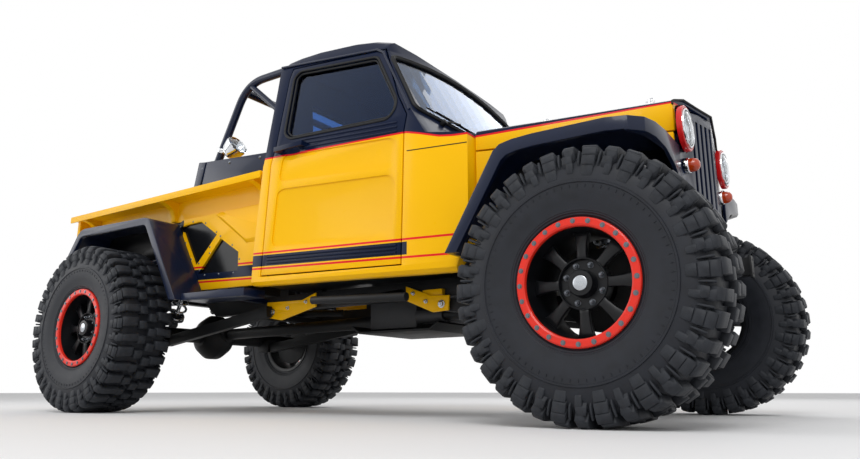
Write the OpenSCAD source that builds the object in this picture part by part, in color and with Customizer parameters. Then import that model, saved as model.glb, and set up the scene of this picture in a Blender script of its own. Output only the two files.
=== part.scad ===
// Lifted off-road pickup on solid axles, built as separate pieces.
// Millimetres. X is forward, Y is left, Z is up; the origin is on the floor
// under the middle of the vehicle. Right-hand pieces are on the -Y side.

/* [Chassis] */
// Distance between the two axles
wheelbase = 3300; // [3200:10:3400]
// X of the front axle
front_axle_x = 1740; // [1700:5:1780]
// Outer face of a frame rail from the middle
rail_out = 440; // [420:5:450]
// Width of a frame rail
rail_w = 60; // [50:5:70]
// Outside diameter of the axle tubes
axle_tube_d = 96; // [80:2:110]

/* [Wheels] */
// Outside radius of a tyre, which is also its hub height
tyre_r = 515; // [500:1:520]
// Width of a tyre across its sidewalls
tyre_w = 366; // [340:2:370]
// Middle of a tyre from the middle of the vehicle
half_track = 890; // [885:1:900]
// Outside diameter of the beadlock ring
ring_d = 480; // [470:2:484]
// Number of spokes on a wheel
spokes = 8; // [5:1:10]
// Kingpin from the middle of the vehicle
kingpin_y = 680; // [670:5:690]

/* [Cab] */
// Half width of the cab below the belt line
cab_half = 800; // [790:5:805]
// Height of the belt line, where the sides start to lean in
belt_z = 1380; // [1360:5:1400]
// Inward lean of the sides above the belt, as a slope
side_lean = 0.22; // [0.18:0.01:0.24]
// Thickness of the cab walls and doors
wall = 45; // [35:1:50]
// Gap round a door or lid
panel_gap = 8; // [6:0.5:9]

/* [Bed] */
// Half width over the bed rails
bed_half = 800; // [780:5:805]
// Height of the bed rail tops
bed_rail_z = 1363; // [1340:1:1370]
// Height of the bed floor
bed_floor_z = 1005; // [990:1:1020]
// Rear end of the bed
bed_rear_x = -2248; // [-2252:1:-2240]

/* [Roll bar] */
// Tube diameter of the roll bar
bar_d = 50; // [40:1:54]

/* [Hidden] */
$fn = 48;
eps = 0.5;
hub_z = tyre_r;
rear_axle_x = front_axle_x - wheelbase;
wheel_in = half_track - tyre_w / 2;
door_x = [-192, 776];
door_gap_in = 15;
door_skin = 15;
glass_t = 6;
cab_front_x = 1141;
hood_x = 1150;
nose_x = 1970;
nose_v = 70;
rail_z = [600, 690];
ring_face_y = 1050;
mount_y = 950;
bar_y = 600;

// ---------- helpers ----------

// The piece and its mirror image on the other side of the vehicle
module pair() {
    children();
    mirror([0, 1, 0]) children();
}

// A straight round tube or rod between two points
module rod(a, b, d) {
    v = b - a;
    len = norm(v);
    tilt = acos(v[2] / len);
    turn = atan2(v[1], v[0]);
    translate(a) rotate([0, tilt, turn]) cylinder(d = d, h = len);
}

// A rectangular bar between two points, w across and h high
module bar(a, b, w, h) {
    v = b - a;
    len = norm(v);
    turn = atan2(v[1], v[0]);
    rise = asin(v[2] / len);
    translate(a) rotate([0, -rise, turn]) translate([0, -w / 2, -h / 2]) cube([len, w, h]);
}

// A side-view outline given as [x, z], standing between two values of Y
module slab(outline, y0, y1) {
    translate([0, y1, 0]) rotate([90, 0, 0]) linear_extrude(y1 - y0) polygon(outline);
}

// A disc or tube along Y, from y0 to y1
module disc_y(x, z, y0, y1, d) {
    translate([x, y1, z]) rotate([90, 0, 0]) cylinder(d = d, h = y1 - y0);
}

// A closed skin through rings that all have the same number of points
module loft(rings) {
    n = len(rings[0]);
    m = len(rings);
    pts = [for (r = rings) each r];
    sides = [for (i = [0:m - 2], j = [0:n - 1]) let (a = i * n + j, b = i * n + (j + 1) % n)
        each [[a, b, b + n], [a, b + n, a + n]]];
    caps = [[for (j = [n - 1:-1:0]) j], [for (j = [0:n - 1]) (m - 1) * n + j]];
    // rings may run either way round, so the faces are turned to point outwards
    side_sum = [for (f = sides) cross(pts[f[0]], pts[f[1]]) * pts[f[2]]] * [for (f = sides) 1];
    cap_sum = [for (c = caps, j = [1:n - 2]) cross(pts[c[0]], pts[c[j]]) * pts[c[j + 1]]]
        * [for (c = caps, j = [1:n - 2]) 1];
    turn = side_sum + cap_sum;
    faces = [each sides, each caps];
    polyhedron(points = pts, convexity = 6,
        faces = turn < 0 ? faces : [for (f = faces) [for (j = [len(f) - 1:-1:0]) f[j]]]);
}

// Linear value of y at x between two points
function lerp(x, x0, y0, x1, y1) = y0 + (y1 - y0) * (x - x0) / (x1 - x0);

// A closed outline with each corner rounded off by up to r
function soften(pts, r) = let (m = len(pts)) [for (i = [0:m - 1])
    let (p = pts[i], u = pts[(i + m - 1) % m] - p, v = pts[(i + 1) % m] - p,
        c = min(r, norm(u) * 0.45, norm(v) * 0.45),
        a = p + u / norm(u) * c, b = p + v / norm(v) * c)
    each [for (k = [0:3]) let (t = k / 3) (1 - t) * (1 - t) * a + 2 * t * (1 - t) * p + t * t * b]];

// Mirror a half ring, given from the bottom middle round to the top middle
function whole_ring(x, half) = concat(
    [for (p = half) [x, p[0], p[1]]],
    [for (i = [len(half) - 2:-1:1]) [x, -half[i][0], half[i][1]]]);

// ---------- cab ----------

// Height of the rain gutter and of the roof shoulder along X
function gutter_z(x) = 1940 + (525 - x) * 0.149;
roof_line = [[-310, 2102], [-230, 2112], [-100, 2116], [40, 2107], [310, 2072], [450, 2041],
    [540, 2009], [1200, 1760]];
function shoulder_z(x) = [for (i = [0:len(roof_line) - 2]) let (a = roof_line[i], b = roof_line[i + 1])
    if (x >= a[0] && x < b[0]) lerp(x, a[0], a[1], b[0], b[1])][0];
function rocker_z(x) = lerp(x, -263, 697, 929, 659);
function side_y(z) = cab_half - max(0, z - belt_z) * side_lean;

// Half section of the cab at x, drawn in by t
function cab_half_section(x, t, drop = 0) = let (
    g = gutter_z(x), s = shoulder_z(x) - drop, yg = side_y(g)) [
    [0, 705 + t * 0.7], [735 - t, 705 + t * 0.7], [735 - t, rocker_z(x) + t],
    [cab_half - 18 - t, rocker_z(x) + t], [cab_half - t, rocker_z(x) + 18 + t],
    [cab_half - t, belt_z], [yg - t, g - 8 - t * 0.4],
    [yg - 6 - t, min(g + 14, s - 12) - t * 0.6], [yg - 22 - t * 0.9, s - 26 - t * 0.8],
    [yg - 60 - t * 0.6, s - 4 - t], [420, s + 7 - t], [0, s + 11 - t]];

// Whole cab volume, drawn in by t: roof, sides, floor and cowl in one skin
module cab_volume(t) {
    stations = [[-300, 60], [-272, 14], [-225, 0], [-120, 0], [40, 0], [180, 0], [310, 0], [450, 0], [540, 0],
        [600, 0], [cab_front_x, 0]];
    intersection() {
        loft([for (s = stations) whole_ring(s[0], cab_half_section(s[0], t, s[1]))]);
        // side outline: sloping rear wall, rocker and rounded front corner
        slab([[-271 + t, 600], [-264 + t, 900], [-222 + t, 1400], [-262 + t, 1900], [-290 + t, 2200],
            [cab_front_x + 10 - t, 2200], [cab_front_x - t, 800], [1090 - t, 704 + t], [1047 - t, 600]],
            -900, 900);
    }
}

// Windscreen line at a distance y from the middle: header, foot and cowl points as [x, z]
function screen_line(y, t) = let (k = pow(abs(y) / cab_half, 2)) [
    [lerp(k, 0, 582, 1, 572) - t, lerp(k, 0, 2004, 1, 1890)],
    [lerp(k, 0, 893, 1, 795) - t, lerp(k, 0, 1432, 1, 1500) - t * 0.2],
    [lerp(k, 0, 985, 1, 905) - t, lerp(k, 0, 1372, 1, 1345) - t],
    [cab_front_x + 20, lerp(k, 0, 1352, 1, 1292) - t]];

// Everything above and in front of the windscreen and cowl, moved in by t
module screen_cutter(t) {
    loft([for (i = [-8:8]) let (y = i * 110, s = screen_line(y, t))
        [for (p = [[s[0][0] - 14, 2260], s[0], s[1], s[2], s[3], [cab_front_x + 20, 2260]])
            [p[0], y, p[1]]]]);
}

// Side outline of a door, drawn in by g, as [x, z]
function door_outline(g) = [
    [door_x[0] + g, 748 + g], [762 - g, 716 + g], [door_x[1] - 2 - g, 1474],
    [694 - g * 1.1, 1610], [556 - g * 1.1, 1930 - g * 1.2],
    [-160 + g, gutter_z(-160) - 22 - g], [-172 + g, 1950 - g], [-150 + g, 1494]];

// Side outline of the door window, let out by g
function window_outline(g) = soften([
    [-45 - g, 1522 - g], [-103 - g, 1566 - g * 0.5], [-131 - g, 1948 + g], [-92 - g, 1982 + g],
    [508 + g, 1898 + g], [694 + g, 1580], [690 + g, 1520 - g], [655 + g, 1478 - g]], 26);

// Side skin of the cab between two depths under the outer surface, on the right side
module right_side_layer(t0, t1) {
    outer = [[cab_half - t0, 600], [cab_half - t0, belt_z], [side_y(2150) - t0, 2150]];
    inner = [[side_y(2150) - t1, 2150], [cab_half - t1, belt_z], [cab_half - t1, 600]];
    mirror([0, 1, 0]) translate([-400, 0, 0]) rotate([90, 0, 90]) linear_extrude(1300)
        polygon(concat(outer, inner));
}

module cab_shell() {
    // the pressed shell is kept as one faceted skin, which resize() of nothing gives
    color("#f2b90c") resize([0, 0, 0]) difference() {
        cab_volume(0);
        screen_cutter(0);
        difference() {
            cab_volume(wall);
            screen_cutter(30);
        }
        pair() slab(door_outline(-panel_gap), -900, -560);
        // windscreen opening
        intersection() {
            loft([for (i = [-6:6]) let (y = i * 112, s = screen_line(y, 0)) [
                for (p = [[-60, 0.09], [60, 0.09], [60, 0.93], [-60, 0.93]])
                [s[0][0] + (s[1][0] - s[0][0]) * p[1] + p[0], y,
                 s[0][1] + (s[1][1] - s[0][1]) * p[1] + p[0] * 0.4]]]);
            rotate([0, 90, 0]) translate([0, 0, 400]) linear_extrude(600)
                polygon([[-2200, 640], [-1450, 745], [-1450, -745], [-2200, -640]]);
        }
        // rear window opening
        translate([-350, -430, 1545]) cube([180, 860, 330]);
    }
}

module windshield() {
    color("#5b7894") intersection() {
        loft([for (i = [-6:6]) let (y = i * 112, s = screen_line(y, 8)) [
            for (p = [[-glass_t / 2, 0.105], [glass_t / 2, 0.105], [glass_t / 2, 0.915], [-glass_t / 2, 0.915]])
            [s[0][0] + (s[1][0] - s[0][0]) * p[1] + p[0], y,
             s[0][1] + (s[1][1] - s[0][1]) * p[1] + p[0] * 0.4]]]);
        rotate([0, 90, 0]) translate([0, 0, 400]) linear_extrude(600)
            polygon([[-2200, 638], [-1450, 743], [-1450, -743], [-2200, -638]]);
    }
}

module rear_window() {
    color("#5b7894") translate([-243, -429, 1546]) rotate([0, -2.5, 0]) cube([glass_t, 858, 328]);
}

module dashboard() {
    color("#1c1e24") {
        slab([[835, 1140], [960, 1130], [1010, 1220], [960, 1262], [860, 1290], [815, 1262]], -700, 700);
        // steering column
        rod([900, 330, 1210], [672, 330, 1330], 46);
    }
}

module seats() {
    color("#2a2c33") for (y = [-330, 330]) translate([0, y, 0]) {
        slab([[60, 905], [520, 930], [540, 1010], [500, 1040], [110, 1010]], -240, 240);
        slab([[30, 905], [55, 905], [105, 1012], [20, 1480], [-70, 1500], [-110, 1470]], -235, 235);
        slab([[-60, 1503], [14, 1490], [-10, 1640], [-50, 1665], [-90, 1650]], -130, 130);
        // seat base on the floor
        translate([80, -190, 738]) cube([380, 380, 166]);
    }
}

// One door: an outer skin and a smaller inner layer behind it, with the window cut
module door_right_solid() {
    difference() {
        union() {
            intersection() {
                right_side_layer(0, door_skin + eps);
                slab(door_outline(0), -900, -500);
            }
            intersection() {
                right_side_layer(door_skin, wall);
                slab(door_outline(door_gap_in), -900, -500);
            }
        }
        slab(window_outline(0), -900, -500);
    }
    // pull handle
    difference() {
        translate([-110, -833, 1436]) cube([215, 46, 26]);
        translate([-60, -822, 1430]) cube([130, 24, 40]);
        translate([-120, -786, 1420]) cube([240, 40, 60]);
    }
}

module door_glass_right_solid() {
    intersection() {
        right_side_layer(24, 24 + glass_t);
        slab(window_outline(-1), -900, -500);
    }
}

module door_right() { color("#f2b90c") door_right_solid(); }
module door_left() { color("#f2b90c") mirror([0, 1, 0]) door_right_solid(); }
module door_glass_right() { color("#5b7894") door_glass_right_solid(); }
module door_glass_left() { color("#5b7894") mirror([0, 1, 0]) door_glass_right_solid(); }

// ---------- nose ----------

// Half width and heights of the hood along X: lower edge, shoulder and crown
function nose_w(x) = lerp(x, hood_x, 740, nose_x, 422);
function hood_low(x) = lerp(x, hood_x, 1222, nose_x, 1245);
function hood_side(x) = lerp(x, hood_x, 1318, nose_x, 1390);
function hood_top(x) = lerp(x, hood_x, 1358, nose_x, 1430);

// Ring of the hood at x, drawn in by t; the front ring follows the V of the nose
function hood_ring(x, t, low, v) = let (
    w = nose_w(x) - t, s = hood_side(x) - t, c = hood_top(x) - t,
    half = [[w, low], [w, s - 22], [w - 8, s - 6], [w - 26, s + 4], [w * 0.72, (s + c) / 2 + 12],
        [w * 0.4, c - 6], [0, c]])
    concat([for (p = half) [x + v * (1 - p[0] / w), p[0], p[1]]],
        [for (i = [len(half) - 2:-1:0]) [x + v * (1 - half[i][0] / w), -half[i][0], half[i][1]]]);

module hood() {
    color("#f2b90c") difference() {
        loft([for (x = [hood_x, 1400, 1700, nose_x])
            hood_ring(x, 0, hood_low(x), x == nose_x ? nose_v : 0)]);
        loft([for (x = [hood_x - 10, 1400, 1700, nose_x + 8])
            hood_ring(x, 20, 1100, x > nose_x ? nose_v : 0)]);
    }
}

// One leaf of the V-shaped grille, from the middle to its right edge
module grille_leaf() {
    turn = atan(nose_v / 422);
    top_mid = hood_top(nose_x) - 30;
    top_side = hood_side(nose_x) - 34;
    translate([nose_x + nose_v - 4, 0, 0]) rotate([0, 0, -turn]) difference() {
        rotate([90, 0, -90]) linear_extrude(28)
            polygon([[0, 880], [388, 880], [388, top_side - 10], [370, top_side + 4], [150, top_mid - 6], [0, top_mid]]);
        for (i = [0:4]) translate([-40, -32 - i * 50, 960]) cube([60, 24, 400 - i * 2]);
    }
}

module grille_panel() {
    color("#20242f") difference() {
        union() {
            mirror([0, 1, 0]) grille_leaf();
            grille_leaf();
        }
        pair() lamp_pod(35, 60);
        pair() translate([22, 0, 0]) lamp_pod(110, 60);
        pair() signal_hole();
    }
}

module lamp_pod(r, depth) {
    translate([1960, -356, 1263]) rotate([0, 90, 0]) cylinder(r = r, h = depth, $fn = 64);
}

module signal_hole() {
    translate([1960, -323, 1102]) rotate([0, 90, 0]) cylinder(r = 36, h = 80);
}

// Round sealed-beam lamp in a deep ring, turned about its own axis
module headlights() {
    color("#d8dde2") pair() translate([1992, -356, 1263]) rotate([0, 90, 0]) rotate_extrude($fn = 72)
        polygon([[0, -24], [34, -24], [34, -8], [100, -8], [104, -4], [104, 20], [98, 28], [90, 28],
            [87, 16], [60, 27], [30, 32], [0, 34]]);
}

module turn_signals() {
    color("#d86a1a") pair() translate([1990, -323, 1102]) rotate([0, 90, 0]) rotate_extrude()
        polygon([[0, -12], [35, -12], [35, 26], [30, 30], [22, 44], [8, 53], [0, 54]]);
}

// Upright side panels of the nose under the hood
module front_fenders() {
    color("#f2b90c") pair() intersection() {
        slab([[hood_x, 955], [1240, 955], [1345, 1045], [nose_x - 4, 1045],
            [nose_x - 4, hood_low(nose_x) - panel_gap], [hood_x, hood_low(hood_x) - panel_gap]], -760, -380);
        translate([0, 0, 900]) linear_extrude(400) polygon([
            [hood_x, -nose_w(hood_x)], [nose_x, -nose_w(nose_x)],
            [nose_x, -nose_w(nose_x) + 18], [hood_x, -nose_w(hood_x) + 18]]);
    }
}

// Wheel-arch path of the front flare, outside and inside the lip, as [x, z]
flare_out = [[1080, 715], [1330, 1135], [1362, 1159], [1420, 1170], [1516, 1175], [1823, 1174], [2000, 1168]];
flare_in = [[2000, 1112], [1823, 1118], [1516, 1120], [1440, 1115], [1392, 1104], [1366, 1084], [1142, 715]];
flare_skin = [[2000, 1150], [1823, 1156], [1516, 1157], [1424, 1152], [1372, 1142], [1346, 1122], [1101, 715]];
// Plan of the flare, swept in at the front, and the same line a lip's width further in
flare_plan = [[1000, -905], [1830, -905], [1915, -885], [1966, -835], [1986, -760], [1992, -640], [1986, -424],
    [1000, -424]];
flare_plan_in = [[1000, -872], [1822, -872], [1892, -855], [1934, -817], [1953, -752], [1976, -640], [1970, -424],
    [1000, -424]];
// Lower edge of the front apron, from the outer lip in to the nose, as [y, z]
apron = [[-910, 1112], [-800, 1108], [-660, 1092], [-520, 1052], [-424, 990], [-424, 1170], [-910, 1170]];

module front_flares() {
    color("#20242f") pair() difference() {
        intersection() {
            union() {
                // lip along the side and round the front corner, with the apron under it
                difference() {
                    union() {
                        slab(concat(flare_out, flare_in), -905, -640);
                        intersection() {
                            translate([1900, 0, 0]) rotate([90, 0, 90]) linear_extrude(92) polygon(apron);
                            slab([[1900, 900], [1992, 900], [1992, 1168.3], [1900, 1171.3]], -905, -424);
                        }
                    }
                    translate([0, 0, 600]) linear_extrude(800) polygon(flare_plan_in);
                }
                slab(concat(flare_out, flare_skin), -905, -400);
            }
            translate([0, 0, 600]) linear_extrude(800) polygon(flare_plan);
        }
        translate([0, 0, 600]) linear_extrude(800)
            polygon([[1000, -801], [hood_x - 2, -801], [hood_x - 2, -nose_w(hood_x - 2)],
                [nose_x + 2, -nose_w(nose_x + 2)], [nose_x + 2, 0], [1000, 0]]);
    }
}

// ---------- bed ----------

module stake_rib(x) {
    // curved gusset under the rail
    translate([x - 22, 0, 0]) rotate([90, 0, 90]) linear_extrude(44)
        polygon([[-660, 1338], [-782, 1338], [-778, 1322], [-735, 1310], [-700, 1285], [-682, 1240], [-678, 1212], [-660, 1212]]);
}

// Lower skirt of the bed with its two openings, as [x, z]
skirt = [[-1167, 1148], [-1092, 1209], [-300, 1209], [-300, 724], [-951, 736], [-962, 787], [-1000, 875]];
skirt_window_a = [[-1099, 1159], [-1060, 1170], [-907, 1174], [-744, 1070], [-931, 887]];
skirt_window_b = [[-706, 1041], [-535, 938], [-529, 824], [-898, 838]];

module bed() {
    color("#f2b90c") difference() {
        union() {
            // floor and front wall
            translate([bed_rear_x + 34, -640, bed_floor_z - 20]) cube([1914, 1280, 20]);
            translate([-320, -640, bed_floor_z - 20]) cube([20, 1280, bed_rail_z - bed_floor_z + 12]);
            pair() {
                // side wall, rail and rail lip
                translate([bed_rear_x, -660, bed_floor_z - 20]) cube([1948, 20, bed_rail_z - bed_floor_z + 20]);
                translate([bed_rear_x, -bed_half, bed_rail_z - 25]) cube([2001, 141, 25]);
                translate([bed_rear_x, -bed_half, bed_rail_z - 42]) cube([2001, 10, 20]);
                for (x = [-2100, -1200, -345]) stake_rib(x);
                // rear corner post
                translate([bed_rear_x, -742, bed_floor_z - 20]) cube([34, 83, bed_rail_z - bed_floor_z]);
                slab(skirt, -680, -659);
            }
        }
        pair() {
            slab(skirt_window_a, -700, -600);
            slab(skirt_window_b, -700, -600);
            translate([bed_rear_x - 10, -702, 1180]) rotate([0, 90, 0]) cylinder(r = 31, h = 60);
        }
    }
}

module bed_side_plates() {
    color("#20242f") pair() slab([[-1062, bed_rail_z], [-1036, 1436], [-1000, 1588], [-960, 1578],
        [-330, 1482], [-316, bed_rail_z]], -660, -646);
}

module tailgate() {
    color("#f2b90c") difference() {
        translate([bed_rear_x, -632, bed_floor_z - 20]) cube([28, 1264, bed_rail_z - bed_floor_z]);
        // pressed panel on the outside
        translate([bed_rear_x - 1, -540, bed_floor_z + 50]) cube([7, 1080, 220]);
    }
}

module tail_lamps() {
    color("#b3161c") pair() translate([-2255, -702, 1180]) rotate([0, 90, 0]) cylinder(r = 30.5, h = 30);
}

// Rear fender path: outside of the lip, inside of the lip and inside of the skin
fender_out = [[-2062, 1000], [-1935, 1175], [-1900, 1200], [-1860, 1209], [-1180, 1192], [-1140, 1184], [-1112, 1160], [-800, 650]];
fender_in = [[-856, 650], [-1150, 1130], [-1172, 1144], [-1860, 1158], [-1890, 1152], [-1905, 1140], [-2006, 1000]];
fender_skin = [[-822, 650], [-1128, 1150], [-1150, 1166], [-1182, 1174], [-1860, 1191], [-1894, 1183], [-1922, 1162], [-2042, 1000]];

module rear_fenders() {
    color("#20242f") pair() difference() {
        union() {
            slab(concat(fender_out, fender_in), -905, -876);
            slab(concat(fender_out, fender_skin), -877, -661);
            // inner wheel-house wall under the bed
            slab([[-2050, 984], [-1150, 984], [-1000, 870], [-870, 655], [-890, 655], [-1030, 840], [-1170, 950], [-2050, 950]], -658, -642);
        }
        // room for the bed skirt and ribs
        slab([for (p = skirt) [p[0] - 1, p[1]]], -681, -640);
        for (x = [-2100, -1200]) translate([x - 23, -790, 1150]) cube([46, 140, 200]);
    }
}

module step_bars() {
    color("#20242f") pair() {
        hull() {
            translate([-800, -860, 648]) cube([20, 175, 40]);
            translate([-300, -840, 640]) cube([20, 155, 44]);
        }
        // outrigger from the rail
        translate([-560, -690, 652]) cube([40, 250, 26]);
    }
}

module roll_bar() {
    base = [-1170, -bar_y, bed_floor_z];
    bend = [-646, -bar_y, 2054];
    front = [-300, -bar_y, 2066];
    color("#20242f") {
        pair() difference() {
            union() {
                rod(base, bend, bar_d);
                translate(bend) sphere(d = bar_d + 3);
                rod(bend, front, bar_d);
                rod([-600, -bar_y, 2040], [-282, -bar_y, 1772], 38);
            }
            translate([-1300, -700, 900]) cube([300, 200, bed_floor_z - 900]);
            translate([-279, -700, 1600]) cube([100, 200, 400]);
        }
        rod([bend[0], -bar_y, bend[2]], [bend[0], bar_y, bend[2]], bar_d);
        pair() translate([-1230, -636, bed_floor_z]) cube([120, 80, 8]);
    }
}

module work_lamps() {
    color("#c9ced6") pair() {
        along = [232, 0, 464] / norm([232, 0, 464]);
        grip = [-846, -bar_y, 1654];
        difference() {
            rod(grip - along * 14, grip + along * 14, bar_d + 22);
            rod(grip - along * 60, grip + along * 60, bar_d + 1);
        }
        rod(grip + [34, 0, -8], grip + [75, 0, -30], 20);
        translate(grip + [60, 0, -34]) rotate([0, 62, 0]) rotate_extrude()
            polygon([[0, 0], [26, 4], [44, 26], [50, 60], [50, 72], [0, 72]]);
    }
}

// ---------- chassis ----------

// Side outline of a rail, kicked up over both axles, as [x, z]
rail_side = [[-2120, 790], [-1960, 790], [-1750, 800], [-1250, 800], [-1000, rail_z[0]], [1160, rail_z[0]],
    [1330, 700], [2080, 700], [2080, 790], [1300, 790], [1130, rail_z[1]], [-960, rail_z[1]],
    [-1210, 890], [-1780, 890], [-1960, 880], [-2120, 880]];

module frame() {
    color("#17181c") {
        difference() {
            union() {
                pair() slab(rail_side, -rail_out, -rail_out + rail_w);
                // crossmembers
                for (c = [[-2080, 800, 60], [-1250, 820, 60], [-900, 600, 38], [1135, 640, 56], [1960, 705, 60]])
                    translate([c[0], -rail_out + rail_w - 1, c[1]]) cube([70, 2 * (rail_out - rail_w) + 2, c[2]]);
                // front bumper plates and shock towers
                pair() {
                    translate([2080, -rail_out, 690]) cube([12, rail_w, 110]);
                    slab([[1520, 788], [1720, 788], [1680, 1036], [1560, 1036]], -rail_out - 1, -rail_out + 12);
                    translate([1560, -540, 1022]) cube([120, 112, 14]);
                    // cab mounts
                    for (x = [-150, 850]) translate([x, -rail_out + 10, rail_z[1] - 1]) cube([70, 40, 14.5]);
                }
                // bed sills
                for (x = [-2050, -1500, -420]) translate([x, -630, 925]) cube([70, 1260, 59]);
                for (x = [-2050, -1500]) pair() translate([x, -rail_out + 5, 870]) cube([70, 50, 60]);
                pair() translate([-420, -rail_out + 5, rail_z[1] - 1]) cube([70, 50, 240]);
                // receiver tube at the rear
                translate([-2160, -38, 790]) cube([140, 76, 76]);
            }
            translate([-2170, -25.5, 802.5]) cube([120, 51, 51]);
            // bolt holes of the front plates
            pair() for (z = [710, 780]) translate([2070, -rail_out + 30, z]) rotate([0, 90, 0])
                cylinder(d = 14, h = 40);
        }
    }
}

module skid_plate() {
    color("#2a2c31") slab([[0, 490], [60, 452], [560, 452], [620, 490], [612, 500], [556, 464], [66, 464], [8, 500]], -260, 260);
}

module engine_block() {
    color("#4a4d52") translate([1190, -250, 800]) cube([560, 500, 330]);
}

module gearbox() {
    color("#4a4d52") {
        translate([420, -130, 500]) cube([690, 260, 185]);
        translate([90, -190, 480]) cube([331, 380, 200]);
        // output flanges
        translate([40, 0, 545]) rotate([0, 90, 0]) cylinder(d = 120, h = 51);
        translate([420, -165, 540]) rotate([0, 90, 0]) cylinder(d = 78, h = 180);
    }
}

module driveshafts() {
    color("#2a2c31") {
        rod([38, 0, 545], [rear_axle_x + 178, 0, 530], 76);
        rod([602, -165, 540], [front_axle_x - 178, -165, 530], 62);
    }
}

// Housing of a solid axle round its differential
module axle_housing(x, dy) {
    translate([x, dy, hub_z]) rotate([90, 0, 0]) rotate_extrude()
        polygon([[0, -130], [70, -130], [120, -90], [158, -30], [158, 30], [120, 90], [70, 130], [0, 130]]);
}

module front_axle() {
    color("#24262b") difference() {
        union() {
            disc_y(front_axle_x, hub_z, -600, 600, axle_tube_d);
            axle_housing(front_axle_x, -165);
            translate([front_axle_x - 176, -165, 530]) rotate([0, 90, 0]) cylinder(d = 110, h = 60);
            pair() {
                // yoke arms round the kingpin
                translate([front_axle_x - 45, -632, hub_z - 150]) cube([90, 40, 300]);
                for (z = [hub_z - 150, hub_z + 118]) hull() {
                    translate([front_axle_x - 45, -632, z]) cube([90, 10, 32]);
                    translate([front_axle_x, -kingpin_y, z]) cylinder(d = 70, h = 32, $fn = 32);
                }
                // link and coilover brackets
                translate([front_axle_x - 110, -370, 415]) cube([110, 70, 95]);
                translate([front_axle_x - 90, -545, 500]) cube([90, 70, 60]);
            }
        }
        pair() translate([front_axle_x, -kingpin_y, hub_z - 160]) cylinder(d = 26, h = 320);
    }
}

module rear_axle() {
    color("#24262b") {
        disc_y(rear_axle_x, hub_z, -860, 860, axle_tube_d);
        axle_housing(rear_axle_x, 0);
        translate([rear_axle_x + 100, 0, 530]) rotate([0, 90, 0]) cylinder(d = 110, h = 77);
        pair() {
            // brake disc and hub flange inside the wheel
            disc_y(rear_axle_x, hub_z, -812, -792, 330);
            disc_y(rear_axle_x, hub_z, -904, -812, 130);
            translate([rear_axle_x, -500, 425]) cube([115, 70, 90]);
        }
    }
}

// Ends of the links on the right side: frame end, axle end
links = [[[-430, -507, 590], [-1438, -465, 455]], [[785, -445, 556], [1620, -335, 450]],
    [[-520, -250, 655], [-1440, -120, 690]], [[860, -280, 585], [1600, -300, 640]]];

module suspension_links() {
    color("#17181c") pair() for (i = [0:3]) {
        if (i < 2) bar(links[i][0], links[i][1], 44, 66);
        else rod(links[i][0], links[i][1], 44);
    }
}

module link_brackets() {
    color("#f2b90c") pair() for (s = [
        [[-480, 650], [-190, 645], [-86, 680], [-82, 601], [-356, 538], [-474, 558]],
        [[561, 662], [720, 603], [829, 598], [824, 523], [729, 518], [562, 588]]])
        difference() {
            union() {
                slab(s, -481, -469);
                // spacer block against the rail
                translate([s[1][0] - 60, -470, 606]) cube([120, 29.5, 30]);
            }
            disc_y(s[0][0] < 0 ? -430 : 785, s[0][0] < 0 ? 590 : 556, -490, -460, 20);
        }
}

// A coilover: lower eye to upper eye, with its body and spring seats
module coilover(a, b) {
    v = b - a;
    rod(a, a + v * 0.5, 26);
    rod(a + v * 0.42, b, 58);
    rod(a + v * 0.08, a + v * 0.11, 110);
    rod(a + v * 0.82, a + v * 0.85, 110);
}

module coilovers() {
    color("#8d9299") pair() {
        coilover([-1330, -520, 560], [-1080, -570, 968]);
        coilover([1690, -508, 562], [1622, -496, 1016]);
    }
}

module rock_sliders() {
    color("#17181c") pair() {
        rod([150, -745, 592], [760, -745, 566], 42);
        for (x = [230, 500]) rod([x, -745, 588 - (x - 150) * 0.04], [x, -rail_out - 7, 640], 34);
    }
}

// ---------- steering and wheels ----------

module knuckle_right_solid() {
    color("#3a3d43") {
        translate([front_axle_x, -kingpin_y, hub_z - 117.5]) cylinder(d = 66, h = 235);
        translate([front_axle_x, -kingpin_y, hub_z - 149]) cylinder(d = 25, h = 298);
        disc_y(front_axle_x, hub_z, -812, -kingpin_y, 110);
        disc_y(front_axle_x, hub_z, -904, -800, 130);
        disc_y(front_axle_x, hub_z, -792, -772, 330);
        // steering arm in front of the axle
        hull() {
            translate([front_axle_x + 40, -kingpin_y - 20, hub_z + 70]) cube([20, 40, 30]);
            translate([front_axle_x + 150, -kingpin_y + 14, hub_z + 70]) cylinder(d = 44, h = 30, $fn = 32);
        }
        translate([front_axle_x, -kingpin_y - 20, hub_z + 70]) cube([50, 40, 30]);
    }
}

module knuckle_right() { knuckle_right_solid(); }
module knuckle_left() { mirror([0, 1, 0]) knuckle_right_solid(); }

module tie_rod() {
    color("#5a5d63") {
        disc_y(front_axle_x + 150, hub_z + 124, -kingpin_y + 14, kingpin_y - 14, 34);
        pair() translate([front_axle_x + 150, -kingpin_y + 14, hub_z + 107]) cylinder(d = 46, h = 34);
    }
}

module steering_wheel() {
    color("#1c1e24") translate([655, 330, 1339]) rotate([0, -62, 0]) {
        rotate_extrude($fn = 64) translate([178, 22]) circle(d = 28, $fn = 24);
        for (i = [0:2]) rotate([0, 0, 90 + i * 120]) translate([20, -14, 14]) cube([146, 28, 10]);
        cylinder(d = 64, h = 30);
    }
}

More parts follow.
